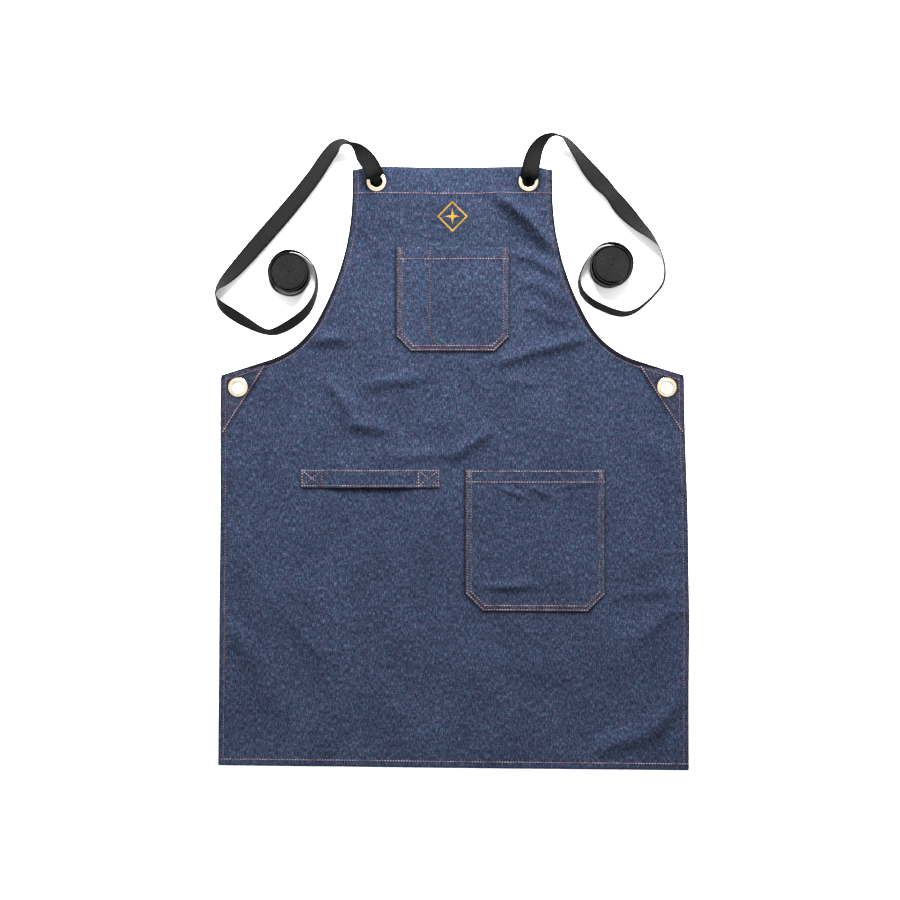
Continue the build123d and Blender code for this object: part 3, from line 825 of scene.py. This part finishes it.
def outside(cut, x, y):
    """How far outside a pocket's outline a place is, in millimetres. It is negative inside."""
    x, y = x / mm, y / mm
    over_left, over_right, over_bottom = cut["left"] - x, x - cut["right"], cut["bottom"] - y
    over_corner = (cut["chamfer"] + max(over_left, over_right) + over_bottom) / sqrt(2)
    return max(over_left, over_right, over_bottom, over_corner)


def glow(away, wide):
    return exp(-((away / wide) ** 2))


def eyelet_shade(x, y):
    """Painted shade: a dark ring on the cloth round each eyelet's flange."""
    away = min(hypot(x - ex, y - ey) for ex, ey, *_ in eyelet_spots) / mm
    return 1 - 0.6 * glow(away - 14.8, 2.4)


patch_drop = 83 * mm  # how far the diagonal starts below the corner
patch_inset = 1.2 * mm  # from the cut edges
patch_along_hole = 69  # in millimetres of the armhole, and so in its points
patch_side = Vector((half_width(corner_y - patch_drop), corner_y - patch_drop))
patch_hole = armhole_even[-patch_along_hole]


def panel_painted_shade(x, y):
    """Painted shade: the cloth is darker where an edge lies on it and shades it, below the top hem, outside the
    pockets, under the towel loop, beside the patches' diagonals and round the eyelets; it is also darker along its own
    cut edges.
    """
    shade = 1 - 0.22 * glow(y - half_length + top_hem, 2.2 * mm)
    shade *= 1 - 0.3 * glow(half_width(y) - abs(x), 2.5 * mm)
    for cut in (chest, hand):
        # painted shadow outside each pocket's edges, stronger on the left and at the bottom
        if y < cut["top"] * mm + 1 * mm:
            away = outside(cut, x, y)
            shade *= 1 - (0.3 if x > (cut["right"] - 4) * mm else 0.82) * glow(away - 0.8, 2.6)
    # painted shadow under the towel loop's lower edge
    if loop["left"] + 3 < x / mm < loop["right"] - 3:
        shade *= 1 - 0.78 * glow(y / mm - loop["bottom"] + 1.2, 2.6)
    # painted shade beside each corner patch's sewn diagonal
    diagonal = patch_hole - patch_side
    spot = Vector((abs(x), y)) - patch_side
    share = spot.dot(diagonal) / diagonal.length_squared
    if 0 < share < 1:
        away = (spot - diagonal * share).length / mm * (1 if spot.cross(diagonal) < 0 else -1)
        shade *= 1 - (0.4 + 0.4 * ease(share, 0.2, 0.7)) * glow(away - 2.4, 2.8)
    shade *= eyelet_shade(x, y)
    return shade, shade, shade


def pocket_wear_and_painted_shade(cut):
    """Between the two rows of stitches the cloth is worn paler, and browner along the bottom. Painted shade darkens the
    pocket's cut edge and a line just below the mouth's hem row.
    """
    def tint(x, y):
        inside = -outside(cut, x, y)
        band = ease(inside, 0.8, 2.4) * (1 - ease(inside, 7.4, 9.4))
        band *= 1 - ease(y / mm, cut["top"] - 6, cut["top"] - 2)
        low = 1 - ease(y / mm, cut["bottom"] + 20, cut["bottom"] + 34)
        # painted shade at the pocket's cut edge and just below the mouth's hem row
        rim = 1 - 0.35 * (1 - ease(inside, 0, 1.6)) - 0.2 * glow(y / mm - cut["top"] + cut["hem"] + 2.0, 1.6)
        return tuple(rim * (1 + band * (side * (1 - low) + bottom * low))
                     for side, bottom in ((0.42, 0.30), (0.22, -0.12), (0.06, -0.22)))
    return tint


def panel_place(u, v):
    y = -half_length + 2 * half_length * v
    return (2 * u - 1) * half_width(y), y


def punch(thing, spots):
    """Cuts the eyelets' holes, each with a shallow seat for its washer behind."""
    cutter = bmesh.new()
    for x, y, base, _ in spots:
        for radius, low, high in ((9.05, -3, 9), (12.1, -3, 0.65)):
            made = bmesh.ops.create_cone(cutter, cap_ends=True, segments=40, radius1=radius * mm,
                                         radius2=radius * mm, depth=(high - low) * mm)
            bmesh.ops.translate(cutter, verts=made["verts"], vec=(x, y, base + (high + low) / 2 * mm))
    mesh = bpy.data.meshes.new("punch")
    cutter.to_mesh(mesh)
    cutter.free()
    tool = add_object("punch", mesh)
    cut = thing.modifiers.new("holes", "BOOLEAN")
    cut.operation, cut.solver, cut.object = "DIFFERENCE", "EXACT", tool
    cut.use_self = True
    punched = finished_mesh(thing)
    thing.modifiers.clear()
    thing.data = punched
    bpy.data.objects.remove(tool)
    return thing


fine = 222
panel = cloth_sheet("denim_panel", panel_place, panel_front, panel_back, fine, fine // 3 * 4, denim, step=2,
                    tint=panel_painted_shade)
punch(panel, eyelet_spots)
print("panel", len(panel.data.polygons), "faces")

# %% [markdown]
# ## Patch pockets
# A patch pocket is a piece of denim with a hemmed mouth and two cut corners, sewn down on three sides. Its
# cloth is a little longer than the place it covers, so it stands off the panel in the middle and gapes at
# the mouth. The grid follows the cut corners, and a few folds run down from the mouth.

# %% Pockets


def swell(x, y, left, right, bottom, top, gape, fullness):
    """How far a pocket stands off the panel between two side seams and the bottom seam."""
    inside = min(x - left, right - x)
    if inside <= 0 or y <= bottom:
        return 0.0
    width = ease(inside, 0, min(34 * mm, (right - left) / 2))
    height = ease(y - bottom, 0, 42 * mm)
    mouth = ease(y, top - 60 * mm, top)
    return width * (fullness * height * (1 - mouth) + gape * mouth * height)


def chest_swell(x, y):
    low, high = chest["bottom"] * mm + 9 * mm, chest["top"] * mm
    seam = pen_seam * mm
    pen = swell(x, y, chest["left"] * mm + 9 * mm, seam - 1 * mm, low + 18 * mm, high, 2.2 * mm, 1.0 * mm)
    main = swell(x, y, seam + 1 * mm, chest["right"] * mm - 9 * mm, low, high, 3.4 * mm, 1.7 * mm)
    ripple = 0.5 * mm * noise.noise(Vector((x * 30, y * 20, 4.0)))
    inside = min(x - chest["left"] * mm, chest["right"] * mm - x, y - low)
    return pen + main + max(ripple, 0) * ease(inside, 8 * mm, 30 * mm)


hand_folds = [  # x, y, to x, to y, half width, height
    (62, -24, 112, -44, 5, 3.2), (108, -20, 150, -48, 5, 4.2), (150, -26, 204, -18, 4, 2.2),
    (144, -50, 150, -120, 9, 2.2), (40, -166, 128, -163, 6, 5.5), (36, -178, 30, -140, 5, 2.4),
    (150, -168, 180, -120, 9, 1.4), (48, -120, 66, -128, 7, 2.2),
]


def hand_swell(x, y):
    left, right, low, high = (hand[key] * mm for key in ("left", "right", "bottom", "top"))
    full = swell(x, y, left + 9 * mm, right - 9 * mm, low + 9 * mm, high, 3.6 * mm, 2.0 * mm)
    inner = ease(min(x - left, right - x, y - low), 8.5 * mm, 16 * mm)
    ripple = 0.6 * mm * max(noise.noise(Vector((x * 24, y * 17, 8.0))), 0)
    return full + inner * (fold_height(x, y, hand_folds, 10 * mm, 2 * mm, 40, 0.4, 0.55) + ripple)


def sewn_pocket(name, cut, raised, shift, columns, rows):
    left, right, bottom, top, chamfer, hem = (
        cut[key] * mm for key in ("left", "right", "bottom", "top", "chamfer", "hem"))

    def place(u, v):
        y = bottom + (top - bottom) * v
        cut_in = max(chamfer - (y - bottom), 0)
        return left + cut_in + (right - left - 2 * cut_in) * u, y

    def back(x, y):
        return panel_front(x, y) + 0.05 * mm + raised(x, y)

    def front(x, y):
        doubled = 1 - ease(top - y, hem - 1 * mm, hem + 1.5 * mm)
        turned = 1 - ease(min(x - left, right - x, y - bottom), 9 * mm, 12 * mm)
        groove = 0.25 * mm * exp(-(((top - y - hem) / (1.6 * mm)) ** 2))
        return back(x, y) + cloth + 0.6 * mm * max(doubled, turned) - groove

    made = cloth_sheet(name, place, front, back, columns, rows, denim, shift=shift, tint=pocket_wear_and_painted_shade(cut))
    return made, front


quick_share = 1
chest_pocket, chest_front = sewn_pocket("chest_pocket_cloth", chest, chest_swell, (0.41, 0.13),
                                        int(80 * quick_share), int(74 * quick_share))
hand_pocket, hand_front = sewn_pocket("hand_pocket_cloth", hand, hand_swell, (-0.27, 0.34),
                                      int(96 * quick_share), int(98 * quick_share))
print("pockets", len(chest_pocket.data.polygons), len(hand_pocket.data.polygons), "faces")

# %% [markdown]
# ## The towel loop
# A towel is pushed through a strip of doubled denim that is sewn down only at its two ends. Between them the
# strip is slack, so it stands off the panel in a low arch.

# %% Towel loop


def loop_place(u, v):
    x = loop["left"] + (loop["right"] - loop["left"]) * u
    y = loop["bottom"] + (loop["top"] - loop["bottom"]) * v
    return x * mm, y * mm


def loop_back(x, y):
    inside = min(x - loop["left"] * mm, loop["right"] * mm - x)
    arch = ease(inside, loop["foot"] * mm - 4 * mm, loop["foot"] * mm + 34 * mm)
    tilt = 1 - 0.25 * (y - loop["bottom"] * mm) / (25.6 * mm)
    stand_off = 4.6 * mm + 0.5 * mm * noise.noise(Vector((x * 14, 2.0, 0)))
    return panel_front(x, y) + 0.05 * mm + arch * tilt * stand_off


def loop_front(x, y):
    edge = min(y - loop["bottom"] * mm, loop["top"] * mm - y)
    return loop_back(x, y) + 1.7 * mm - 0.2 * mm * exp(-(((edge - 2 * mm) / (1.0 * mm)) ** 2))


towel_loop = cloth_sheet("towel_loop_cloth", loop_place, loop_front, loop_back, 104, 14, denim, shift=(0.19, -0.22))

# %% [markdown]
# ## Corner patches
# A second layer of denim strengthens each side corner, where the straps will pull on the eyelets. It is
# a triangle between the armhole, the side hem and a sewn diagonal. Its grid fans out from the corner.

# %% Corner patches
def corner_point(side, u, v):
    """v goes from the corner (0) to the diagonal (1), and u from the side edge (0) to the armhole (1)."""
    by_side = Vector((half_width(corner_y - patch_drop) - patch_inset, corner_y - patch_drop))
    index = len(armhole_even) - patch_along_hole
    along = way_along(armhole_even, index)
    inward = Vector((along.y, -along.x))
    inward = inward if inward.y < 0 else -inward
    by_hole = armhole_even[index] + inward * patch_inset
    corner = side_corner + Vector((-1.6, -1.6)) * mm
    spot = corner.lerp(by_side.lerp(by_hole, u), v)
    missing = patch_inset - armhole_gap(spot.x, spot.y)
    if u == 1 and missing > 0:
        spot += inward * missing
    return outwards[side] * spot.x, spot.y


def patch_front(x, y):
    return panel_front(x, y) + 0.75 * mm


def patch_back(x, y):
    return panel_front(x, y) - 0.25 * mm


corner_patches = {}
for side in routes:
    patch = cloth_sheet(f"{side}_corner_patch_cloth",
                        lambda u, v, side=side: corner_point(side, u, 0.06 + 0.94 * v), patch_front, patch_back,
                        # the patches carry only the painted shade round their eyelets
                        28, 30, dark_denim, shift=(0.33, 0.07), tint=lambda x, y: (eyelet_shade(x, y),) * 3)
    punch(patch, [spot for spot in eyelet_spots if spot[2] < lifted_from and spot[0] * outwards[side] > 0])
    corner_patches[side] = patch

# %% [markdown]
# ## Armhole bindings
# A dark cotton tape wraps the curved edge of each armhole, narrow in front and wider behind. Its section
# is a thin hook. We sweep the hook along the edge, and every station asks the cloth how high it lies.

# %% Bindings
# distance inside the edge, and height as a share from the back (0) to the front (1), in the order of the walk
hook = [
    (6.0, 1), (5.9, 1.08), (4.4, 1.12), (2.2, 1.12), (0.5, 1.08), (-0.35, 0.85), (-0.6, 0.5), (-0.35, 0.15),
    (0.5, -0.06), (3.0, -0.06), (9.8, -0.06), (10.0, 0.0), (9.8, 0.08), (3.0, 0.1), (1.4, 0.12), (1.2, 0.5),
    (1.4, 0.84), (2.2, 0.9), (4.4, 0.92), (5.9, 0.95),
]
bindings = {}
edge_stations = evenly(armhole_line, 3 * mm)
for side in routes:
    points, flat = [], []
    for index, spot in enumerate(edge_stations):
        along = way_along(edge_stations, index)
        inward = Vector((along.y, -along.x))
        for step, (inside, share) in enumerate(hook):
            if share > 0.5 and inside > 1.2:
                inside = 1.2 + (inside - 1.2) * (0.12 + 0.7 * ease(-spot.y, -350 * mm, -150 * mm))
            x, y = (spot + inward * inside * mm).to_tuple()
            held_x, held_y = (spot + inward * max(inside, 1.0) * mm).to_tuple()
            low = panel_back(outwards[side] * held_x, held_y) - tape
            z = max(low, 0) + share * hem_thickness
            lx, ly = laid(outwards[side] * x, y)
            points.append((lx, ly, max(z, 0.05 * mm)))
            flat.append((step * 1.2 * mm, index * 3 * mm))
    size = len(hook)
    faces = tube_faces(len(edge_stations), size)
    for base in (0, (len(edge_stations) - 1) * size):
        faces.append([base + corner for corner in range(size)])
    bindings[side] = piece(f"{side}_binding_tape", points, faces, flat, binding_tape, sharp=45)

# %% [markdown]
# ## Rows of stitches
# Topstitching is thousands of equal short threads along a line, which is work for Geometry Nodes. The
# tree takes lines of edges, resamples them at the stitch's pitch, and puts a small sunken grain of thread on each
# point, turned along the line. A second use of the same tree, with a turn of 90 degrees and a fine
# pitch, sews the bar tacks.

# %% Stitch tree
def stitch_tree():
    tree = bpy.data.node_groups.new("stitch_rows", "GeometryNodeTree")
    inputs = {}
    tree.interface.new_socket("Geometry", in_out="OUTPUT", socket_type="NodeSocketGeometry")
    tree.interface.new_socket("Lines", in_out="INPUT", socket_type="NodeSocketGeometry")
    for label, kind in (("Pitch", "Float"), ("Length", "Float"), ("Thickness", "Float"), ("Turn", "Float"),
                        ("Unevenness", "Float"), ("Thread", "Material")):
        inputs[label] = tree.interface.new_socket(label, in_out="INPUT", socket_type=f"NodeSocket{kind}").identifier
    nodes, links = tree.nodes, tree.links

    def add(kind, settings=None, wires=None):
        node = nodes.new(kind)
        for key, value in (settings or {}).items():
            setattr(node, key, value)
        for key, value in (wires or {}).items():
            socket = node.inputs[key]
            if isinstance(value, bpy.types.NodeSocket):
                links.new(value, socket)
            else:
                socket.default_value = value
        return node

    start = add("NodeGroupInput")
    lines = add("GeometryNodeMeshToCurve", wires={"Mesh": start.outputs["Lines"]})
    spread = add("GeometryNodeResampleCurve", {"mode": "LENGTH"},
                 {"Curve": lines.outputs[0], "Length": start.outputs["Pitch"]})
    grain = add("GeometryNodeMeshUVSphere", wires={"Segments": 6, "Rings": 5, "Radius": 0.5})
    thickness = start.outputs["Thickness"]
    size = add("ShaderNodeCombineXYZ", wires={"X": start.outputs["Length"], "Y": thickness, "Z": thickness})
    shaped = add("GeometryNodeTransform", wires={"Geometry": grain.outputs[0], "Scale": size.outputs[0]})
    tangent = add("GeometryNodeInputTangent")
    along = add("FunctionNodeAlignRotationToVector", {"axis": "X"}, {"Vector": tangent.outputs[0]})
    uneven = add("FunctionNodeRandomValue", {"data_type": "FLOAT"}, {"Seed": 7})
    low = add("ShaderNodeMath", {"operation": "SUBTRACT"}, {0: 0.0, 1: start.outputs["Unevenness"]})
    links.new(low.outputs[0], uneven.inputs[2])
    links.new(start.outputs["Unevenness"], uneven.inputs[3])
    angle = add("ShaderNodeMath", {"operation": "ADD"}, {0: start.outputs["Turn"], 1: uneven.outputs[1]})
    euler = add("ShaderNodeCombineXYZ", wires={"Z": angle.outputs[0]})
    turn = add("FunctionNodeEulerToRotation", wires={0: euler.outputs[0]})
    turned = add("FunctionNodeRotateRotation", {"rotation_space": "LOCAL"}, {0: along.outputs[0], 1: turn.outputs[0]})
    placed = add("GeometryNodeInstanceOnPoints", wires={
        "Points": spread.outputs[0], "Instance": shaped.outputs[0], "Rotation": turned.outputs[0]})
    real = add("GeometryNodeRealizeInstances", wires={0: placed.outputs[0]})
    smooth = add("GeometryNodeSetShadeSmooth", wires={0: real.outputs[0]})
    finish = add("GeometryNodeSetMaterial",
                 wires={"Geometry": smooth.outputs[0], "Material": start.outputs["Thread"]})
    end = add("NodeGroupOutput")
    links.new(finish.outputs[0], end.inputs[0])
    return tree, inputs


stitching, stitch_inputs = stitch_tree()
longest_step = 8 * mm  # a wider gap in a row is an eyelet, and isn't sewn across


def sew(name, rows, thread, pitch, length, thickness, turn=0.0, unevenness=0.05):
    """Sews rows of points, each a list of places, and returns one plain mesh."""
    points, edges = [], []
    for row in rows:
        for index, (here, there) in enumerate(zip(row, row[1:])):
            if (Vector(there) - Vector(here)).length < longest_step:
                edges.append((len(points) + index, len(points) + index + 1))
        points += [tuple(place) for place in row]
    mesh = bpy.data.meshes.new(name)
    mesh.from_pydata(points, edges, [])
    thing = add_object(name, mesh)
    sewing = thing.modifiers.new("stitches", "NODES")
    sewing.node_group = stitching
    for label, value in (("Pitch", pitch), ("Length", length), ("Thickness", thickness), ("Turn", turn),
                         ("Unevenness", unevenness), ("Thread", thread)):
        sewing[stitch_inputs[label]] = value
    sewn = finished_mesh(thing)
    thing.modifiers.clear()
    thing.data = sewn
    print(name, len(rows), "rows,", len(sewn.polygons), "faces")
    return thing


# %% [markdown]
# Each row is drawn on the flat cloth in millimetres, cut into short steps, and laid on the surface that
# it is sewn through. A sewing machine wanders a little, and so do these rows.

# %% Rows on the cloth
stitch_pitch = 3.8 * mm
stitch_length = 3.2 * mm
stitch_thickness = 1.8 * mm
machine_wander = 0.25 * mm
flange_radius = 13.9 * mm  # no row is sewn under an eyelet


def on_surface(corners, surface, sink=0.05):
    """A row through corners given in millimetres, laid on a surface."""
    row = []
    spots = evenly([Vector((x * mm, y * mm)) for x, y in corners], 2.5 * mm)
    for spot in spots:
        if min(hypot(spot.x - ex, spot.y - ey) for ex, ey, *_ in eyelet_spots) < flange_radius:
            continue
        x = spot.x + machine_wander * noise.noise(Vector((spot.y * 30, spot.x * 30, 2.0)))
        y = spot.y + machine_wander * noise.noise(Vector((spot.x * 30, spot.y * 30, 6.0)))
        lx, ly = laid(x, y)
        row.append((lx, ly, surface(x, y) + sink * mm))
    return row


def offset_armhole(side, inside, start=2.0):
    """The line a distance inside an armhole's edge, in millimetres."""
    line = []
    for index, spot in enumerate(edge_stations):
        along = way_along(edge_stations, index)
        inner = spot + Vector((along.y, -along.x)) * inside * mm
        if inner.y < half_length - start * mm:
            line.append((outwards[side] * inner.x * 1000, inner.y * 1000))
    return line


half_l, hem_x, corner_l = half_length * 1000, half_hem * 1000, corner_y * 1000
top_row, bottom_row, side_row, armhole_row = 36, 8.5, 6.5, 7.6  # how far inside the edges
patch_foot, patch_from, patch_to = 90, 259, 316  # where the rows climb on and off a corner patch
hem_rows = [on_surface([(-half_bib * 1000 + 1, half_l - top_row), (half_bib * 1000 - 1, half_l - top_row)],
                       panel_front)]
hem_rows.append(on_surface([(-hem_x + 1, -half_l + bottom_row), (hem_x - 1, -half_l + bottom_row)], panel_front))
side_rows = []
for side, way in outwards.items():
    top_x = half_width(corner_y - patch_foot * mm) * 1000 - side_row
    upper_x = half_corner * 1000 - side_row
    foot = (way * top_x, corner_l - patch_foot)
    side_rows.append(on_surface([(way * (hem_x - side_row), -half_l + 9), foot], panel_front))
    side_rows.append(on_surface([foot, (way * upper_x, corner_l - 6)], patch_front))
    line = offset_armhole(side, armhole_row)
    side_rows.append(on_surface([spot for spot in line if abs(spot[0]) < patch_from], panel_front))
    side_rows.append(on_surface([spot for spot in line if patch_from <= abs(spot[0]) < patch_to], patch_front))
    start, end = corner_point(side, 0.03, 0.975), corner_point(side, 0.93, 0.975)
    hem_rows.append(on_surface([(start[0] * 1000, start[1] * 1000), (end[0] * 1000, end[1] * 1000)], patch_front))


def patch_row(cut, inset):
    left, right, bottom, top = cut["left"] + inset, cut["right"] - inset, cut["bottom"] + inset, cut["top"]
    corner = cut["chamfer"] - inset * 0.586
    return [(left, top - 1), (left, bottom + corner), (left + corner, bottom), (right - corner, bottom),
            (right, bottom + corner), (right, top - 1)]


pocket_rows = []
for cut, surface in ((chest, chest_front), (hand, hand_front)):
    for inset in (2.0, 7.8):
        corners = patch_row(cut, inset)
        for here, there in zip(corners, corners[1:]):
            # upright rows join the side rows and take the darker copy of the thread, painted shade
            rows = side_rows if abs(here[0] - there[0]) < 0.1 else pocket_rows
            rows.append(on_surface([here, there], surface))
    mouth = cut["top"] - cut["hem"]
    pocket_rows.append(on_surface([(cut["left"] + 1.5, mouth), (cut["right"] - 1.5, mouth)], surface))
pocket_rows.append(on_surface([(hand["left"] + 2, hand["top"] - 2), (hand["right"] - 2, hand["top"] - 2)],
                              hand_front))
pen_rows = [on_surface([(pen_seam, 308), (pen_seam, 186), (-14, 166)], chest_front)]
inset = 2.2
left, right = loop["left"] + inset, loop["right"] - inset
bottom, top = loop["bottom"] + inset, loop["top"] - inset
loop_rows = [[(left, top), (right, top)], [(left, bottom), (right, bottom)]]
for outer, inner in ((left, loop["left"] + loop["foot"]), (right, loop["right"] - loop["foot"])):
    loop_rows += [[(outer, top), (outer, bottom)], [(inner, top), (inner, bottom)],
                  [(outer, top), (inner, bottom)], [(outer, bottom), (inner, top)]]
pocket_rows += [on_surface(corners, loop_front) for corners in loop_rows]

sewing = (stitch_pitch, stitch_length, stitch_thickness)
hem_stitches = sew("hem_stitches", hem_rows, topstitch_thread, *sewing)
side_stitches = sew("side_stitches", side_rows + pen_rows, shaded_topstitch_thread, *sewing)
pocket_stitches = sew("pocket_stitches", pocket_rows, topstitch_thread, *sewing)

tack_rows = []
for cut, surface in ((chest, chest_front), (hand, hand_front)):
    for x in (cut["left"] + 4.9, cut["right"] - 4.9):
        tack_rows.append(on_surface([(x, cut["top"] - 1.5), (x, cut["top"] - 10.5)], surface, 0.25))
bar_tacks = sew("bar_tacks", tack_rows, topstitch_thread, 0.8 * mm, 3.4 * mm, 0.6 * mm, pi / 2, 0.25)

# %% [markdown]
# ## The embroidered mark
# The bib carries a small plain mark of our own: a lozenge with a four-pointed star in it. Embroidery
# fills a shape with satin stitches, long threads side by side across it. Each thread here is a
# short curve with a round bevel, arched over the cloth.

# %% Embroidery
mark_y = 352.0
mark_reach = 21.5
mark_line = 3.1
star_from, star_long, star_reach, star_half = 0.4, 10.4, 11.0, 3.2 * 0.72
satin = bpy.data.curves.new("satin_threads", "CURVE")
satin.dimensions = "3D"
satin.bevel_depth = 0.3 * mm
satin.bevel_resolution = 1
satin.resolution_u = 1
satin.use_fill_caps = True


def satin_thread(start, end):
    spline = satin.splines.new("POLY")
    spline.points.add(4)
    for index, point in enumerate(spline.points):
        share = index / 4
        x, y = start[0] + (end[0] - start[0]) * share, start[1] + (end[1] - start[1]) * share
        lx, ly = laid(x * mm, y * mm)
        arch = 0.45 * sin(pi * share)
        point.co = (lx, ly, panel_front(x * mm, y * mm) + (0.05 + arch) * mm, 1)


def at_quarter(angle, spots):
    """Places in one quarter of the mark, turned into another."""
    return [(x * cos(angle) - y * sin(angle), mark_y + x * sin(angle) + y * cos(angle)) for x, y in spots]


for quarter in range(4):
    angle = pi / 2 * quarter
    for step in range(61):
        share = step / 60
        outer = mark_reach * (1 - share), mark_reach * share
        inner = (mark_reach - mark_line) * (1 - share), (mark_reach - mark_line) * share
        satin_thread(*at_quarter(angle, (outer, inner)))
    for step in range(22):
        along = star_from + star_long * step / 21
        half = max(star_half * (1 - along / star_reach), 0.15)
        satin_thread(*at_quarter(angle, ((along, half), (along, -half))))
satin_holder = add_object("satin_threads", satin)
mark_mesh = finished_mesh(satin_holder)
bpy.data.objects.remove(satin_holder)
embroidered_mark = add_object("embroidered_lozenge", mark_mesh)
mark_mesh.materials.clear()
mark_mesh.materials.append(gold_thread)
mark_mesh.polygons.foreach_set("use_smooth", [True] * len(mark_mesh.polygons))
print("mark", len(mark_mesh.polygons), "faces")

# %% [markdown]
# ## Floor and light
# A pale floor under a soft light from the top of the picture, as in a catalogue's studio. A wide
# key light throws short soft shadows towards the hem, and the world fills them.

# %% Floor and light
floor_mesh = bpy.data.meshes.new("studio_floor")
floor_mesh.from_pydata([(-4, -4, -0.0004), (4, -4, -0.0004), (4, 4, -0.0004), (-4, 4, -0.0004)], [], [(0, 1, 2, 3)])
studio_floor = add_object("studio_floor", floor_mesh)
floor_paint, floor_shader = new_finish("pale_floor", 0.9)
floor_shader.inputs["Base Color"].default_value = (0.97, 0.97, 0.97, 1)
floor_mesh.materials.append(floor_paint)


def softbox(name, place, aim, size, power):
    light = bpy.data.lights.new(name, "AREA")
    light.shape, light.size = "SQUARE", size
    light.energy = power
    lamp = add_object(name, light)
    lamp.location = place
    lamp.rotation_euler = (Vector(aim) - Vector(place)).to_track_quat("-Z", "Y").to_euler()


softbox("key_light", (0.05, 1.3, 0.95), (0, 0.1, 0), 0.75, 145)
world = bpy.data.worlds.new("studio")
world.use_nodes = True
world.node_tree.nodes["Background"].inputs["Color"].default_value = (1, 1, 1, 1)
world.node_tree.nodes["Background"].inputs["Strength"].default_value = 1.7
scene.world = world

# %% [markdown]
# ## Hand the pieces to the frame
# Every piece rides on a body and replaces the plain CAD solid that it stands for.

# %% Ride and replace
def dress(thing, body, slot, *nodes):
    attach(thing, body)
    if nodes:
        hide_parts(*nodes)


dress(panel, "apron", "denim", "body_panel")
dress(chest_pocket, "apron", "denim", "chest_pocket")
dress(hand_pocket, "apron", "denim", "hand_pocket")
dress(towel_loop, "apron", "denim", "towel_loop")
dress(hem_stitches, "apron", "topstitch_thread", "top_hem_seam", "bottom_hem_seam", "left_side_seam", "right_side_seam",
      "left_armhole_seam", "right_armhole_seam", "left_patch_seam", "right_patch_seam")
dress(side_stitches, "apron", "topstitch_thread")
dress(pocket_stitches, "apron", "topstitch_thread", "chest_pocket_seam", "hand_pocket_seam", "towel_loop_seam")
dress(bar_tacks, "apron", "topstitch_thread", "pocket_bar_tacks")
dress(embroidered_mark, "apron", "embroidery_thread", "embroidered_mark")
for side in routes:
    dress(corner_patches[side], "apron", "denim", f"{side}_corner_patch")
    dress(bindings[side], "apron", "binding_tape", f"{side}_armhole_binding")
    body = f"{side}_strap"
    dress(strap_runs[side], body, "webbing", f"{side}_strap_run")
    dress(strap_rolls[side], body, "webbing", f"{side}_strap_roll")
    dress(strap_knots[side], body, "webbing", f"{side}_strap_knot")
